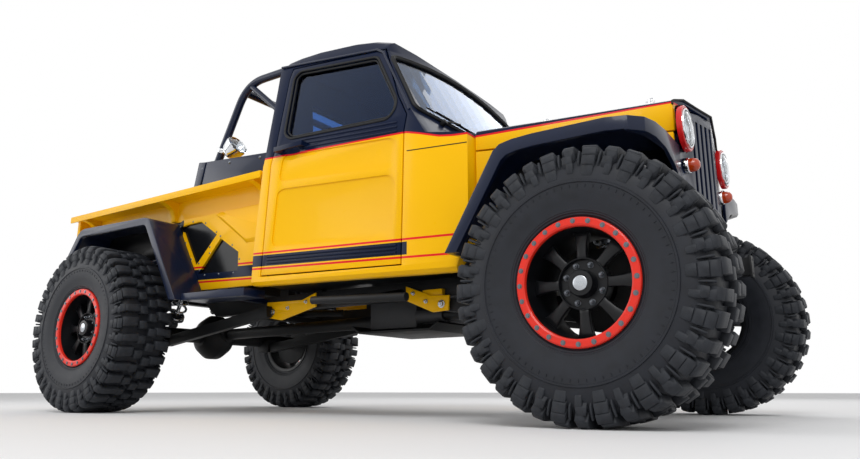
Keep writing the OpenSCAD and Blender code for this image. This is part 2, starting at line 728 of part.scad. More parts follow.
// Wheel about the Y axis, outer side towards -Y
module rim_solid() {
    color("#17181c") difference() {
        union() {
            // barrel and inner lip
            rotate([90, 0, 0]) rotate_extrude($fn = 96) polygon([
                [196, 742], [232, 742], [232, 750], [218, 757], [214, 790], [204, 830], [204, 960],
                [214, 1000], [214, 1034], [206, 1034], [202, 1000], [192, 960], [192, 830], [203, 790]]);
            // beadlock ring
            rotate([90, 0, 0]) rotate_extrude($fn = 96) polygon([
                [202, 1033], [ring_d / 2, 1035], [ring_d / 2, ring_face_y - 4], [ring_d / 2 - 4, ring_face_y],
                [212, ring_face_y], [204, ring_face_y - 5]]);
            // hub disc and spokes
            rotate([90, 0, 0]) translate([0, 0, 906]) difference() {
                cylinder(r = 99, h = 64);
                translate([0, 0, 52]) cylinder(r = 93, h = 20);
            }
            rotate([90, 0, 0]) translate([0, 0, 906]) cylinder(r = 46, h = 84);
            for (i = [0:spokes - 1]) rotate([0, i * 360 / spokes, 0])
                translate([0, -960, 0]) linear_extrude(204) square([38, 34], center = true);
        }
        // open back of the hub and lug holes
        rotate([90, 0, 0]) translate([0, 0, 900]) cylinder(r = 60, h = 5);
        for (i = [0:7]) rotate([0, 22.5 + i * 45, 0]) translate([0, -890, 76]) rotate([90, 0, 0])
            cylinder(d = 16, h = 90);
    }
}

module tyre_solid() {
    c = half_track;
    h = tyre_w / 2;
    color("#26272b") rotate([90, 0, 0]) rotate_extrude($fn = 96) polygon([
        [219, c - 131], [238, c - 139], [290, c - h + 12], [350, c - h], [420, c - h + 2], [480, c - h + 10],
        [504, c - h + 22], [tyre_r, c - h + 44], [tyre_r, c + h - 44], [504, c + h - 22],
        [480, c + h - 10], [420, c + h - 2], [350, c + h], [290, c + h - 12], [242, c + 142], [219, c + 140],
        [219, c + 118], [250, c + 126], [340, c + h - 20], [440, c + h - 26], [482, c + h - 50],
        [486, c], [482, c - h + 50], [440, c - h + 26], [340, c - h + 20], [250, c - 126], [219, c - 114]]);
}

module on_wheel(x, side) {
    translate([x, 0, hub_z]) mirror([0, side > 0 ? 1 : 0, 0]) children();
}

module rim_front_left() { on_wheel(front_axle_x, 1) rim_solid(); }
module rim_front_right() { on_wheel(front_axle_x, -1) rim_solid(); }
module rim_rear_left() { on_wheel(rear_axle_x, 1) rim_solid(); }
module rim_rear_right() { on_wheel(rear_axle_x, -1) rim_solid(); }
module tyre_front_left() { on_wheel(front_axle_x, 1) tyre_solid(); }
module tyre_front_right() { on_wheel(front_axle_x, -1) tyre_solid(); }
module tyre_rear_left() { on_wheel(rear_axle_x, 1) tyre_solid(); }
module tyre_rear_right() { on_wheel(rear_axle_x, -1) tyre_solid(); }

frame();
skid_plate();
engine_block();
gearbox();
driveshafts();
front_axle();
rear_axle();
suspension_links();
link_brackets();
coilovers();
rock_sliders();
cab_shell();
windshield();
rear_window();
dashboard();
seats();
grille_panel();
headlights();
turn_signals();
front_fenders();
front_flares();
bed();
bed_side_plates();
rear_fenders();
step_bars();
roll_bar();
work_lamps();
tail_lamps();
hood();
door_left();
door_right();
door_glass_left();
door_glass_right();
tailgate();
steering_wheel();
tie_rod();
knuckle_left();
knuckle_right();
rim_front_left();
rim_front_right();
rim_rear_left();
rim_rear_right();
tyre_front_left();
tyre_front_right();
tyre_rear_left();
tyre_rear_right();
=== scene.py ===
# Lifted off-road pickup: finish, detail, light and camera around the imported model.
# Everything is in metres, X forward, Y left, Z up.
from math import cos, pi, radians, sin

import bmesh
import bpy
from mathutils import Matrix, Vector


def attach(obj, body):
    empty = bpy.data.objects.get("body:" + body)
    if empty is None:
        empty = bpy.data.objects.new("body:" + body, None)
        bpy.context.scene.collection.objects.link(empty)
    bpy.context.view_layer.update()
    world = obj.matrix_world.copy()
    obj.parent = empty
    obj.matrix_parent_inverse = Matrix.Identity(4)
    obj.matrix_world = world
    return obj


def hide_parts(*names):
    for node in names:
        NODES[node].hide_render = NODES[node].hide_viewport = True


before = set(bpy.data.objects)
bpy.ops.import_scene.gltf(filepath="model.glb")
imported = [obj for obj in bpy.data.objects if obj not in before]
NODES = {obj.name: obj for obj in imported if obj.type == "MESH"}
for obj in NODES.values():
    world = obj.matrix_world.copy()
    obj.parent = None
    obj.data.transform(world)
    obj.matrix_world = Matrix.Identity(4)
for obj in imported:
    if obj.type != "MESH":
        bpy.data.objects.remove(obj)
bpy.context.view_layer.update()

SIDES = {"right": -1, "left": 1}

FRONT_X, REAR_X, HUB_Z = 1.740, -1.560, 0.515
TYRE_MID = 0.890
SEAT_Y = 0.330
HOOP_Y = 0.600


# ---------------------------------------------------------------- materials

def linear(hex_colour):
    """An sRGB hex colour as linear RGBA."""
    parts = [int(hex_colour[i:i + 2], 16) / 255 for i in (1, 3, 5)]
    return tuple(c / 12.92 if c <= 0.04045 else ((c + 0.055) / 1.055) ** 2.4 for c in parts) + (1.0,)


def add(tree, kind, inputs=None, **settings):
    """Adds a node; inputs maps a socket name or number to a value or to another node's output."""
    node = tree.nodes.new(kind)
    for key, value in settings.items():
        setattr(node, key, value)
    for key, value in (inputs or {}).items():
        if isinstance(value, bpy.types.NodeSocket):
            tree.links.new(value, node.inputs[key])
        else:
            node.inputs[key].default_value = value
    return node


def new_material(name, **shader):
    """A material with one Principled shader, and its tree and shader to build on."""
    mat = bpy.data.materials.new(name)
    mat.use_nodes = True
    tree = mat.node_tree
    surface = tree.nodes["Principled BSDF"]
    for key, value in shader.items():
        surface.inputs[key.replace("_", " ")].default_value = value
    return mat, tree, surface


def object_position(tree):
    return add(tree, "ShaderNodeTexCoord").outputs["Object"]


def vary(tree, surface, colours, size_mm, rough, bump, bump_mm, detail=4.0, stretch=(1, 1, 1)):
    """Colour, roughness and bump that change over a real size in millimetres."""
    place = add(tree, "ShaderNodeMapping", {"Vector": object_position(tree), "Scale": stretch})
    noise = add(tree, "ShaderNodeTexNoise", {"Vector": place.outputs[0], "Scale": 1000.0 / size_mm,
                                             "Detail": detail})
    ramp = add(tree, "ShaderNodeMix", {"Factor": noise.outputs["Fac"], 6: linear(colours[0]),
                                       7: linear(colours[1])},
               data_type="RGBA")
    tree.links.new(ramp.outputs[2], surface.inputs["Base Color"])
    shine = add(tree, "ShaderNodeMapRange", {"Value": noise.outputs["Fac"], 3: rough[0], 4: rough[1]})
    tree.links.new(shine.outputs[0], surface.inputs["Roughness"])
    fine = add(tree, "ShaderNodeTexNoise", {"Vector": place.outputs[0], "Scale": 1000.0 / bump_mm,
                                            "Detail": 3.0})
    height = add(tree, "ShaderNodeBump", {"Height": fine.outputs["Fac"], "Strength": bump, "Distance": 0.001})
    tree.links.new(height.outputs[0], surface.inputs["Normal"])
    return ramp


YELLOW, YELLOW_DEEP = "#FBC004", "#F6B800"
NAVY, NAVY_DEEP = "#0E1B38", "#0A142A"
RED = "#E21A22"

# Height of the pinstripe over the flanks, at points along X
BELT = [(-2.30, 1.430), (-0.224, 1.427), (0.788, 1.370), (0.872, 1.346), (0.985, 1.309), (1.060, 1.296),
        (1.151, 1.288), (1.985, 1.376), (2.10, 1.388)]
# Lower edge of the painted side of the nose: the inside of the wheel arch under it stays black
ARCH = [(1.10, 0.715), (1.335, 1.124), (1.372, 1.150), (1.424, 1.162), (1.516, 1.168), (1.823, 1.167),
        (2.10, 1.162)]


# The black inside of the rear wheel houses: its ends along X, its top, and the side and height beyond
# which it shows; then the underside of the cab floor, between the sills, near black as painted shade
HOUSE_REAR, HOUSE_FRONT, HOUSE_TOP, HOUSE_SIDE, HOUSE_LOW = -2.03, -1.08, 1.206, 0.645, 0.995
FLOOR_Z, SILL_Y = 0.760, 0.738
PINSTRIPE = 0.0048


def line_height(tree, x, line):
    """Height at x of a line given by its points, read from a curve."""
    (x0, _), (x1, _) = line[0], line[-1]
    low, high = min(z for _, z in line), max(z for _, z in line)
    along = add(tree, "ShaderNodeMapRange", {"Value": x, 1: x0, 2: x1})
    curve = add(tree, "ShaderNodeFloatCurve", {"Value": along.outputs[0]})
    points = curve.mapping.curves[0].points
    places = [((px - x0) / (x1 - x0), (pz - low) / (high - low)) for px, pz in line]
    points[0].location, points[1].location = places[0], places[-1]
    for place in places[1:-1]:
        points.new(*place)
    for point in points:
        point.handle_type = "VECTOR"
    curve.mapping.update()
    return add(tree, "ShaderNodeMapRange", {"Value": curve.outputs[0], 3: low, 4: high}).outputs[0]


def maths(tree, operation, a, b=None):
    return add(tree, "ShaderNodeMath", {0: a} if b is None else {0: a, 1: b}, operation=operation).outputs[0]


def mask_mix(tree, mask, under, over):
    return add(tree, "ShaderNodeMix", {"Factor": mask, 6: under, 7: over}, data_type="RGBA").outputs[2]


def body_paint(name, belt=True, band=None, arch=False, wheel_house=False, painted_belly_shade=False):
    """Two-pack paint under clear lacquer, deep and wet-looking, with masked-off stripes.
    band is (X, Z, slope, half height, end X) of the lower navy band."""
    mat, tree, surface = new_material(name, Coat_Weight=0.08, Coat_Roughness=0.05, Specular_IOR_Level=0.1)
    place = add(tree, "ShaderNodeSeparateXYZ", {0: object_position(tree)})
    x, y, z = place.outputs
    noise = add(tree, "ShaderNodeTexNoise", {"Vector": object_position(tree), "Scale": 2.2, "Detail": 2.0})
    colour = mask_mix(tree, noise.outputs["Fac"], linear(YELLOW), linear(YELLOW_DEEP))
    navy = mask_mix(tree, noise.outputs["Fac"], linear(NAVY), linear(NAVY_DEEP))
    red = linear(RED)
    if band:
        bx, bz, slope, half, end = band
        centre = maths(tree, "MULTIPLY_ADD", maths(tree, "SUBTRACT", x, bx), slope)
        tree.nodes[-1].inputs[2].default_value = bz
        off = maths(tree, "ABSOLUTE", maths(tree, "SUBTRACT", z, centre))
        in_navy = maths(tree, "MULTIPLY", maths(tree, "LESS_THAN", off, half * 0.70),
                        maths(tree, "LESS_THAN", x, end))
        colour = mask_mix(tree, in_navy, colour, navy)
        in_red = maths(tree, "COMPARE", off, half * 0.98)
        tree.nodes[-1].inputs[2].default_value = half * 0.12
        colour = mask_mix(tree, in_red, colour, red)
    if belt:
        over = maths(tree, "SUBTRACT", z, line_height(tree, x, BELT))
        colour = mask_mix(tree, maths(tree, "GREATER_THAN", over, 0.0), colour, navy)
        line = maths(tree, "COMPARE", over, 0.0)
        tree.nodes[-1].inputs[2].default_value = PINSTRIPE
        colour = mask_mix(tree, line, colour, red)
    if wheel_house:
        outside = maths(tree, "MULTIPLY", maths(tree, "LESS_THAN", z, HOUSE_TOP),
                        maths(tree, "GREATER_THAN", maths(tree, "ABSOLUTE", y), HOUSE_SIDE))
        outside = maths(tree, "MAXIMUM", outside, maths(tree, "LESS_THAN", z, HOUSE_LOW))
        inside = maths(tree, "MULTIPLY", maths(tree, "LESS_THAN", x, HOUSE_FRONT), outside)
        inside = maths(tree, "MULTIPLY", inside, maths(tree, "GREATER_THAN", x, HOUSE_REAR))
        colour = mask_mix(tree, inside, colour, linear("#08090B"))
    # painted shade: below FLOOR_Z and between the sills the cab is coloured near black, as if in shadow
    if painted_belly_shade:
        low = maths(tree, "MULTIPLY", maths(tree, "LESS_THAN", z, FLOOR_Z),
                    maths(tree, "LESS_THAN", maths(tree, "ABSOLUTE", y), SILL_Y))
        colour = mask_mix(tree, low, colour, linear("#0B0C0F"))
    if arch:
        under = maths(tree, "LESS_THAN", z, line_height(tree, x, ARCH))
        colour = mask_mix(tree, under, colour, linear("#0B0C0F"))
    tree.links.new(colour, surface.inputs["Base Color"])
    dust = add(tree, "ShaderNodeTexNoise", {"Vector": object_position(tree), "Scale": 9.0, "Detail": 6.0})
    shine = add(tree, "ShaderNodeMapRange", {"Value": dust.outputs["Fac"], 3: 0.24, 4: 0.36})
    tree.links.new(shine.outputs[0], surface.inputs["Roughness"])
    # faint orange peel in the lacquer, about 4 mm from crest to crest
    peel = add(tree, "ShaderNodeTexNoise", {"Vector": object_position(tree), "Scale": 250.0, "Detail": 1.0})
    bump = add(tree, "ShaderNodeBump", {"Height": peel.outputs["Fac"], "Strength": 0.05, "Distance": 0.0004})
    tree.links.new(bump.outputs[0], surface.inputs["Normal"])
    return mat


def plain(name, colours, rough, size_mm=60, bump=0.1, bump_mm=2.0, detail=4.0, **shader):
    """One finish with slight changes of colour and gloss."""
    mat, tree, surface = new_material(name, **shader)
    vary(tree, surface, colours, size_mm, rough, bump, bump_mm, detail)
    return mat


CAB_BAND = (-0.19, 0.829, -0.0415, 0.0445, 0.80)
BED_BAND = (-0.98, 0.8345, -0.037, 0.0475, 9.0)

M = {
    "cab": body_paint("cab_two_tone_lacquer", belt=True, band=CAB_BAND, painted_belly_shade=True),
    "nose": body_paint("nose_two_tone_lacquer", belt=True),
    "bed": body_paint("bed_yellow_lacquer", belt=False, band=BED_BAND, wheel_house=True),
    "yellow": body_paint("yellow_lacquer", belt=False),
    "fender": body_paint("nose_side_lacquer", belt=False, arch=True),
    # enamel over steel, wet-looking, nearly black with blue in it
    "navy": plain("navy_enamel", (NAVY, NAVY_DEEP), (0.26, 0.38), 200, 0.03, 6.0, Coat_Weight=0.2,
                  Coat_Roughness=0.08, Specular_IOR_Level=0.25),
    "chassis": plain("powder_coat_black", ("#08090B", "#101215"), (0.42, 0.6), 90, 0.15, 1.2,
                     Specular_IOR_Level=0.3),
    "cast": plain("cast_iron_grey", ("#2B2C2F", "#3C3D40"), (0.5, 0.75), 40, 0.4, 2.0),
    "steel": plain("zinc_plated_steel", ("#5C6066", "#7C8086"), (0.25, 0.4), 20, 0.05, 1.0, Metallic=1.0),
    "chrome": plain("chrome_plate", ("#DADDE1", "#EEF0F2"), (0.04, 0.10), 40, 0.0, 5.0, Metallic=1.0),
    "rubber": plain("window_rubber", ("#0A0B0D", "#121316"), (0.5, 0.65), 30, 0.1, 1.0,
                    Specular_IOR_Level=0.3),
    # tread blocks lighter than the sidewall: partly dust on the tread, partly a painted highlight where light
    # falls on their tops
    "tyre": plain("tyre_tread_dust_and_highlight", ("#1B1D21", "#33363C"), (0.46, 0.70), 22, 0.5, 2.2, Specular_IOR_Level=0.25),
    "tyre_side": plain("tyre_sidewall_rubber", ("#131519", "#24272F"), (0.40, 0.64), 48, 0.25, 2.4,
                       Specular_IOR_Level=0.3),
    "rim": plain("satin_black_alloy", ("#08090B", "#101216"), (0.30, 0.42), 60, 0.05, 1.5,
                 Specular_IOR_Level=0.3),
    "satin": plain("satin_chrome", ("#AEB2B8", "#C4C8CC"), (0.22, 0.32), 12, 0.04, 0.8, Metallic=1.0),
    "ring": plain("red_anodised_alloy", ("#E8301F", "#DA2819"), (0.3, 0.42), 50, 0.03, 1.5, Coat_Weight=0.15,
                  Specular_IOR_Level=0.3),
    "bucket": plain("red_enamel", ("#DB1A1C", "#C21216"), (0.18, 0.28), 60, 0.02, 4.0, Coat_Weight=0.3,
                    Specular_IOR_Level=0.3),
    "plastic": plain("cabin_plastic_grain", ("#22242A", "#2B2E35"), (0.5, 0.7), 25, 0.3, 1.0),
    "fabric": plain("seat_vinyl", ("#30343C", "#3A3F49"), (0.5, 0.68), 30, 0.4, 1.6),
    "amber": plain("amber_lens_moulded", ("#C8400A", "#A93305"), (0.10, 0.18), 20, 0.1, 3.0, Coat_Weight=0.4),
    "tail": plain("red_lens_moulded", ("#B01218", "#920C12"), (0.10, 0.18), 20, 0.1, 3.0, Coat_Weight=0.4),
    "dark": plain("deep_black_paint", ("#050607", "#0A0B0D"), (0.5, 0.7), 30, 0.1, 2.0,
                  Specular_IOR_Level=0.3),
    # near black and opaque: partly the panel's own dark tint, partly painted shade standing in for the
    # shadowed space behind it
    "skirt_panel_shade": plain("dark_panel_and_painted_shade", ("#07080A", "#0E1014"), (0.12, 0.22), 60, 0.02, 4.0,
                   Specular_IOR_Level=0.2),
    "piping": plain("seat_piping_vinyl", ("#8A8D93", "#A2A5AA"), (0.45, 0.6), 20, 0.1, 1.0),
}


def clear_material(name, tint, glint, rough, wave):
    """A see-through sheet or lens. glint tints what it mirrors, and wave is how far it ripples."""
    mat, tree, surface = new_material(name, Roughness=rough, Transmission_Weight=1.0, IOR=1.45)
    surface.inputs["Base Color"].default_value = linear(tint)
    surface.inputs["Specular Tint"].default_value = linear(glint)
    noise = add(tree, "ShaderNodeTexNoise", {"Vector": object_position(tree), "Scale": 1.5})
    bump = add(tree, "ShaderNodeBump", {"Height": noise.outputs["Fac"], "Strength": wave, "Distance": 0.002})
    tree.links.new(bump.outputs[0], surface.inputs["Normal"])
    return mat


# laminated glass with a blue-grey tint and its reflections tinted blue, a painted reflection colour; and lamp
# glass
M["glass"] = clear_material("tinted_laminated_glass", "#6C93C4", "#3F78C8", 0.02, 0.02)
M["clear"] = clear_material("pressed_lamp_glass", "#F4F7FA", "#FFFFFF", 0.02, 0.10)


# ---------------------------------------------------------------- mesh tools

def finish_mesh(mesh, angle=35.0):
    mesh.polygons.foreach_set("use_smooth", [True] * len(mesh.polygons))
    mesh.set_sharp_from_angle(angle=radians(angle))


def bake(obj, angle=35.0):
    """Turns a curve, or a mesh with modifiers, into a plain mesh in the same place."""
    view = bpy.context.evaluated_depsgraph_get()
    mesh = bpy.data.meshes.new_from_object(obj.evaluated_get(view), depsgraph=view)
    mesh.transform(obj.matrix_world)
    name = obj.name
    bpy.data.objects.remove(obj)
    finish_mesh(mesh, angle)
    out = bpy.data.objects.new(name, mesh)
    bpy.context.scene.collection.objects.link(out)
    return out


def loose(name, bm):
    """A plain object from a bmesh, which is used up."""
    bmesh.ops.recalc_face_normals(bm, faces=bm.faces)
    mesh = bpy.data.meshes.new(name)
    bm.to_mesh(mesh)
    bm.free()
    obj = bpy.data.objects.new(name, mesh)
    bpy.context.scene.collection.objects.link(obj)
    return obj


def piece(name, bm, material, body, bevel=0.0, segments=2, angle=35.0, replaces=(), limit=30.0):
    """A finished piece from a bmesh: bevelled, smoothed, riding on its body."""
    obj = loose(name, bm)
    obj.data.materials.append(M[material])
    if bevel:
        mod = obj.modifiers.new("edge", "BEVEL")
        mod.width, mod.segments, mod.limit_method, mod.angle_limit = bevel, segments, "ANGLE", radians(limit)
        mod.use_clamp_overlap = True
    obj = bake(obj, angle)
    return settle(obj, body, replaces)


def settle(obj, body, replaces=()):
    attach(obj, body)
    if replaces:
        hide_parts(*replaces)
    return obj


def join_flats(bm):
    """Merges doubled points and joins faces that lie in one plane."""
    bmesh.ops.remove_doubles(bm, verts=bm.verts, dist=2e-5)
    bmesh.ops.dissolve_limit(bm, angle_limit=radians(0.6), verts=bm.verts, edges=bm.edges,
                             delimit={"NORMAL"})


def refined(node, material, body, bevel=0.003, angle=32.0, limit=30.0, cutters=()):
    """A CAD node's shape with its doubles merged, its edges rounded and its round faces smooth.
    cutters are bmeshes of closed shapes that are pressed or cut into it first, one after the other."""
    bm = bmesh.new()
    bm.from_mesh(NODES[node].data)
    join_flats(bm)
    for cutter in cutters:
        bm = carved(bm, cutter)
        cutter.free()
    return piece(node + "_finish", bm, material, body, bevel=bevel, angle=angle, replaces=(node,),
                 limit=limit)


def carved(bm, cutters):
    """The shape in bm with the cutters' shapes taken away."""
    obj, tool = loose("carved", bm), loose("tool", cutters.copy())
    mod = obj.modifiers.new("carve", "BOOLEAN")
    mod.object, mod.operation, mod.solver = tool, "DIFFERENCE", "EXACT"
    obj = bake(obj)
    bpy.data.objects.remove(tool)
    out = bmesh.new()
    out.from_mesh(obj.data)
    bpy.data.objects.remove(obj)
    join_flats(out)
    return out


def absorb(bm, part):
    """Adds the shapes of another bmesh to bm; the other is used up."""
    mesh = bpy.data.meshes.new("part")
    part.to_mesh(mesh)
    part.free()
    bm.from_mesh(mesh)
    bpy.data.meshes.remove(mesh)


def bridge(bm, rows):
    """Quads between each closed ring of vertices and the next."""
    for a, b in zip(rows, rows[1:]):
        for j in range(len(a)):
            m = (j + 1) % len(a)
            bm.faces.new((a[j], a[m], b[m], b[j]))


def drum(bm, segments, radius, depth, place, top=None):
    """A closed cylinder about Z, put in place; top is its upper radius where that differs."""
    bmesh.ops.create_cone(bm, cap_ends=True, segments=segments, radius1=radius,
                          radius2=radius if top is None else top, depth=depth, matrix=place)


def box(bm, low, high):
    lo, hi = Vector(low), Vector(high)
    place = Matrix.Translation((lo + hi) / 2) @ Matrix.Diagonal((*(hi - lo), 1.0))
    return bmesh.ops.create_cube(bm, size=1.0, matrix=place)["verts"]


def lathe(bm, profile, centre, axis="Y", steps=96, closed=True):
    """Turns (radius, height) points about an axis. The profile is a closed ring unless closed is False."""
    rows = []
    for r, h in profile:
        row = []
        for i in range(steps):
            a = 2 * pi * i / steps
            u, v = r * cos(a), r * sin(a)
            p = {"Y": (u, h, v), "X": (h, u, v), "Z": (u, v, h)}[axis]
            row.append(bm.verts.new(Vector(p) + Vector(centre)))
        rows.append(row)
    bridge(bm, rows + rows[:1] if closed else rows)
    bmesh.ops.remove_doubles(bm, verts=bm.verts, dist=1e-6)


def lathe_solid(profile, centre, axis="Y", steps=96):
    """A closed turned solid whose profile starts and ends on the axis."""
    bm = bmesh.new()
    lathe(bm, profile, centre, axis, steps, closed=False)
    return bm


def rod(bm, a, b, radius, steps=20):
    a, b = Vector(a), Vector(b)
    along = b - a
    turn = along.to_track_quat("Z", "Y").to_matrix().to_4x4()
    drum(bm, steps, radius, along.length, Matrix.Translation((a + b) / 2) @ turn)


def tube(name, points, radius, material, body, cyclic=False, steps=3, smooth=False,
         angle=40.0):
    """A tube or bead along points."""
    curve = bpy.data.curves.new(name, "CURVE")
    curve.dimensions = "3D"
    curve.bevel_depth, curve.bevel_resolution, curve.use_fill_caps = radius, steps, True
    spline = curve.splines.new("NURBS" if smooth else "POLY")
    spline.points.add(len(points) - 1)
    for slot_point, p in zip(spline.points, points):
        slot_point.co = (*p, 1.0)
    spline.use_cyclic_u = cyclic
    if smooth:
        spline.order_u, spline.use_endpoint_u, spline.resolution_u = 3, True, 6
    curve.materials.append(M[material])
    obj = bpy.data.objects.new(name, curve)
    bpy.context.scene.collection.objects.link(obj)
    return settle(bake(obj, angle), body)


def rounded(points, radius, steps=4):
    """A closed outline with its corners rounded by arcs."""
    out = []
    n = len(points)
    for i in range(n):
        p, a, b = Vector(points[i]), Vector(points[i - 1]), Vector(points[(i + 1) % n])
        u, v = (a - p), (b - p)
        cut = min(radius, u.length * 0.45, v.length * 0.45)
        start, end = p + u.normalized() * cut, p + v.normalized() * cut
        for k in range(steps + 1):
            t = k / steps
            out.append(tuple((1 - t) ** 2 * start + 2 * t * (1 - t) * p + t ** 2 * end))
    return out


def gn_input(group, name, kind, default=None):
    socket = group.interface.new_socket(name=name, in_out="INPUT", socket_type=kind)
    if default is not None:
        socket.default_value = default
    return socket.identifier


def repeat_tree(name, ring):
    """Geometry Nodes that repeat a shape round an axis through the origin, or in a straight row."""
    group = bpy.data.node_groups.new(name, "GeometryNodeTree")
    gn_input(group, "Shape", "NodeSocketGeometry")
    ids = {"Count": gn_input(group, "Count", "NodeSocketInt", 8),
           "Step": gn_input(group, "Step", "NodeSocketVector"),
           "Finish": gn_input(group, "Finish", "NodeSocketMaterial")}
    group.interface.new_socket(name="Result", in_out="OUTPUT", socket_type="NodeSocketGeometry")
    start = add(group, "NodeGroupInput")
    dots = add(group, "GeometryNodePoints", {"Count": start.outputs["Count"]})
    index = add(group, "GeometryNodeInputIndex")
    offset = add(group, "ShaderNodeVectorMath", {0: start.outputs["Step"], "Scale": index.outputs[0]},
                 operation="SCALE").outputs[0]
    whole = add(group, "GeometryNodeGeometryToInstance", {0: start.outputs["Shape"]})
    if ring:
        placed = add(group, "GeometryNodeInstanceOnPoints",
                     {"Points": dots.outputs[0], "Instance": whole.outputs[0], "Rotation": offset})
    else:
        moved = add(group, "GeometryNodeSetPosition", {"Geometry": dots.outputs[0], "Offset": offset})
        placed = add(group, "GeometryNodeInstanceOnPoints", {"Points": moved.outputs[0],
                                                             "Instance": whole.outputs[0]})
    real = add(group, "GeometryNodeRealizeInstances", {0: placed.outputs[0]})
    paint = add(group, "GeometryNodeSetMaterial", {"Geometry": real.outputs[0],
                                                   "Material": start.outputs["Finish"]})
    add(group, "NodeGroupOutput", {0: paint.outputs[0]})
    return group, ids


RING, RING_IDS = repeat_tree("repeat_round_an_axis", True)
ROW, ROW_IDS = repeat_tree("repeat_in_a_row", False)


def repeated(name, bm, count, step, material, body, place=Matrix(), ring=True, bevel=0.0, angle=35.0,
             replaces=()):
    """Repeats a small shape count times by Geometry Nodes, then puts it in place."""
    obj = loose(name, bm)
    if bevel:
        mod = obj.modifiers.new("edge", "BEVEL")
        mod.width, mod.segments, mod.limit_method, mod.angle_limit = bevel, 1, "ANGLE", radians(35)
    mod = obj.modifiers.new("repeat", "NODES")
    mod.node_group = RING if ring else ROW
    ids = RING_IDS if ring else ROW_IDS
    mod[ids["Count"]] = count
    mod[ids["Step"]] = step
    mod[ids["Finish"]] = M[material]
    out = bake(obj, angle)
    out.data.transform(place)
    if place.determinant() < 0:
        out.data.flip_normals()
    return settle(out, body, replaces)


# ---------------------------------------------------------------- wheels

def wheel_place(x, side):
    """From a wheel drawn round the origin, with its outside towards -Y, to its place."""
    place = Matrix.Translation((x, 0, HUB_Z))
    return place @ Matrix.Diagonal((1, -side, 1, 1)) if side > 0 else place


# Tyre section from the outer bead over the tread, as (radius, distance from the tyre's middle)
TYRE_HALF = [(0.224, 0.139), (0.244, 0.146), (0.249, 0.152), (0.254, 0.1525), (0.258, 0.1575),
             (0.262, 0.1575),
             (0.265, 0.1605), (0.270, 0.1610), (0.300, 0.1705), (0.340, 0.1765), (0.364, 0.1775),
             (0.3665, 0.1815),
             (0.3735, 0.1815), (0.376, 0.1770), (0.410, 0.1740), (0.440, 0.1640), (0.462, 0.1500),
             (0.476, 0.1300),
             (0.482, 0.1100), (0.484, 0.0600), (0.485, 0.0)]
# Outer face of a shoulder lug, from the sidewall over the shoulder to the tread
LUG_PATH = [(0.392, 0.1780), (0.430, 0.1800), (0.466, 0.1795), (0.490, 0.1740), (0.5065, 0.1620),
            (0.5145, 0.1460),
            (0.5150, 0.1100), (0.5150, 0.0700)]


def lug(bm, start, stop, widths, angle, skew=0.0, lift=0.0, side=1):
    """One rubber block that follows the shoulder from one point of LUG_PATH to another."""
    rows = []
    steps = max(2, int(round((stop - start) * 1.5)) + 1)
    for i in range(steps):
        t = start + (stop - start) * i / (steps - 1)
        k = min(int(t), len(LUG_PATH) - 2)
        f = t - k
        (r0, d0), (r1, d1) = LUG_PATH[k], LUG_PATH[k + 1]
        r, d = r0 + (r1 - r0) * f + lift, d0 + (d1 - d0) * f + lift * 0.5
        w = widths[0] + (widths[1] - widths[0]) * i / (steps - 1)
        base_r, base_d = r * 0.92 - 0.004, d * 0.84
        mid = angle + skew * t / (len(LUG_PATH) - 1)
        row = []
        for rr, dd, ww in ((base_r, base_d, w * 1.12), (r, d, w), (r, d, -w), (base_r, base_d, -w * 1.12)):
            a = mid + ww / 2 / max(rr, 0.1)
            row.append(bm.verts.new((rr * cos(a), -side * dd, rr * sin(a))))
        rows.append(row)
    bridge(bm, rows)
    bm.faces.new(rows[0])
    bm.faces.new(rows[-1][::-1])


LUG_PAIRS = 18


def tyre_lugs():
    """One pitch of the tread: a plain block and a stepped block on each shoulder, and the blocks between."""
    bm = bmesh.new()
    pitch = 2 * pi / LUG_PAIRS
    for side in (1, -1):
        turn = 0 if side > 0 else pitch / 4
        # plain block, stepped by three grooves
        lug(bm, 0.0, 1.0, (0.040, 0.048), turn, side=side, lift=-0.001)
        lug(bm, 1.12, 2.1, (0.050, 0.053), turn, side=side)
        lug(bm, 2.22, 3.7, (0.054, 0.056), turn, side=side, lift=0.001)
        lug(bm, 3.85, 7.0, (0.056, 0.050), turn, skew=0.03, side=side)
        # hooked block, its edges stepping from side to side
        half = turn + pitch / 2
        lug(bm, 0.3, 1.3, (0.024, 0.030), half - 0.010, side=side)
        lug(bm, 1.25, 2.1, (0.042, 0.038), half + 0.010, side=side, lift=0.001)
        lug(bm, 2.05, 3.0, (0.026, 0.042), half - 0.006, side=side)
        lug(bm, 2.95, 4.6, (0.046, 0.040), half + 0.006, side=side, lift=0.0006)
        lug(bm, 4.5, 7.4 if side > 0 else 7.2, (0.036, 0.044), half - 0.012, skew=0.03, side=side)
        # low bars on the sidewall between the blocks
        for k, a in enumerate((pitch / 4, 3 * pitch / 4)):
            lug(bm, 1.4, 3.3, (0.007, 0.010), turn + a, side=side, lift=-0.007)
    # centre blocks, slanted in two rows
    for side in (1, -1):
        for k in range(2):
            a = k * pitch / 2 + (pitch / 4 if side > 0 else 0)
            corners = [(-0.024, 0.004), (0.026, 0.010), (0.022, 0.062), (-0.028, 0.056)]
            low = [bm.verts.new((0.478 * cos(a + c / 0.5), side * d, 0.478 * sin(a + c / 0.5))) for c,
                   d in corners]
            top = [bm.verts.new((0.5145 * cos(a + c * 0.9 / 0.515), side * (d * 0.94 + 0.002),
                                 0.5145 * sin(a + c * 0.9 / 0.515))) for c, d in corners]
            bridge(bm, (low, top))
            bm.faces.new(top)
            bm.faces.new(low[::-1])
    return bm


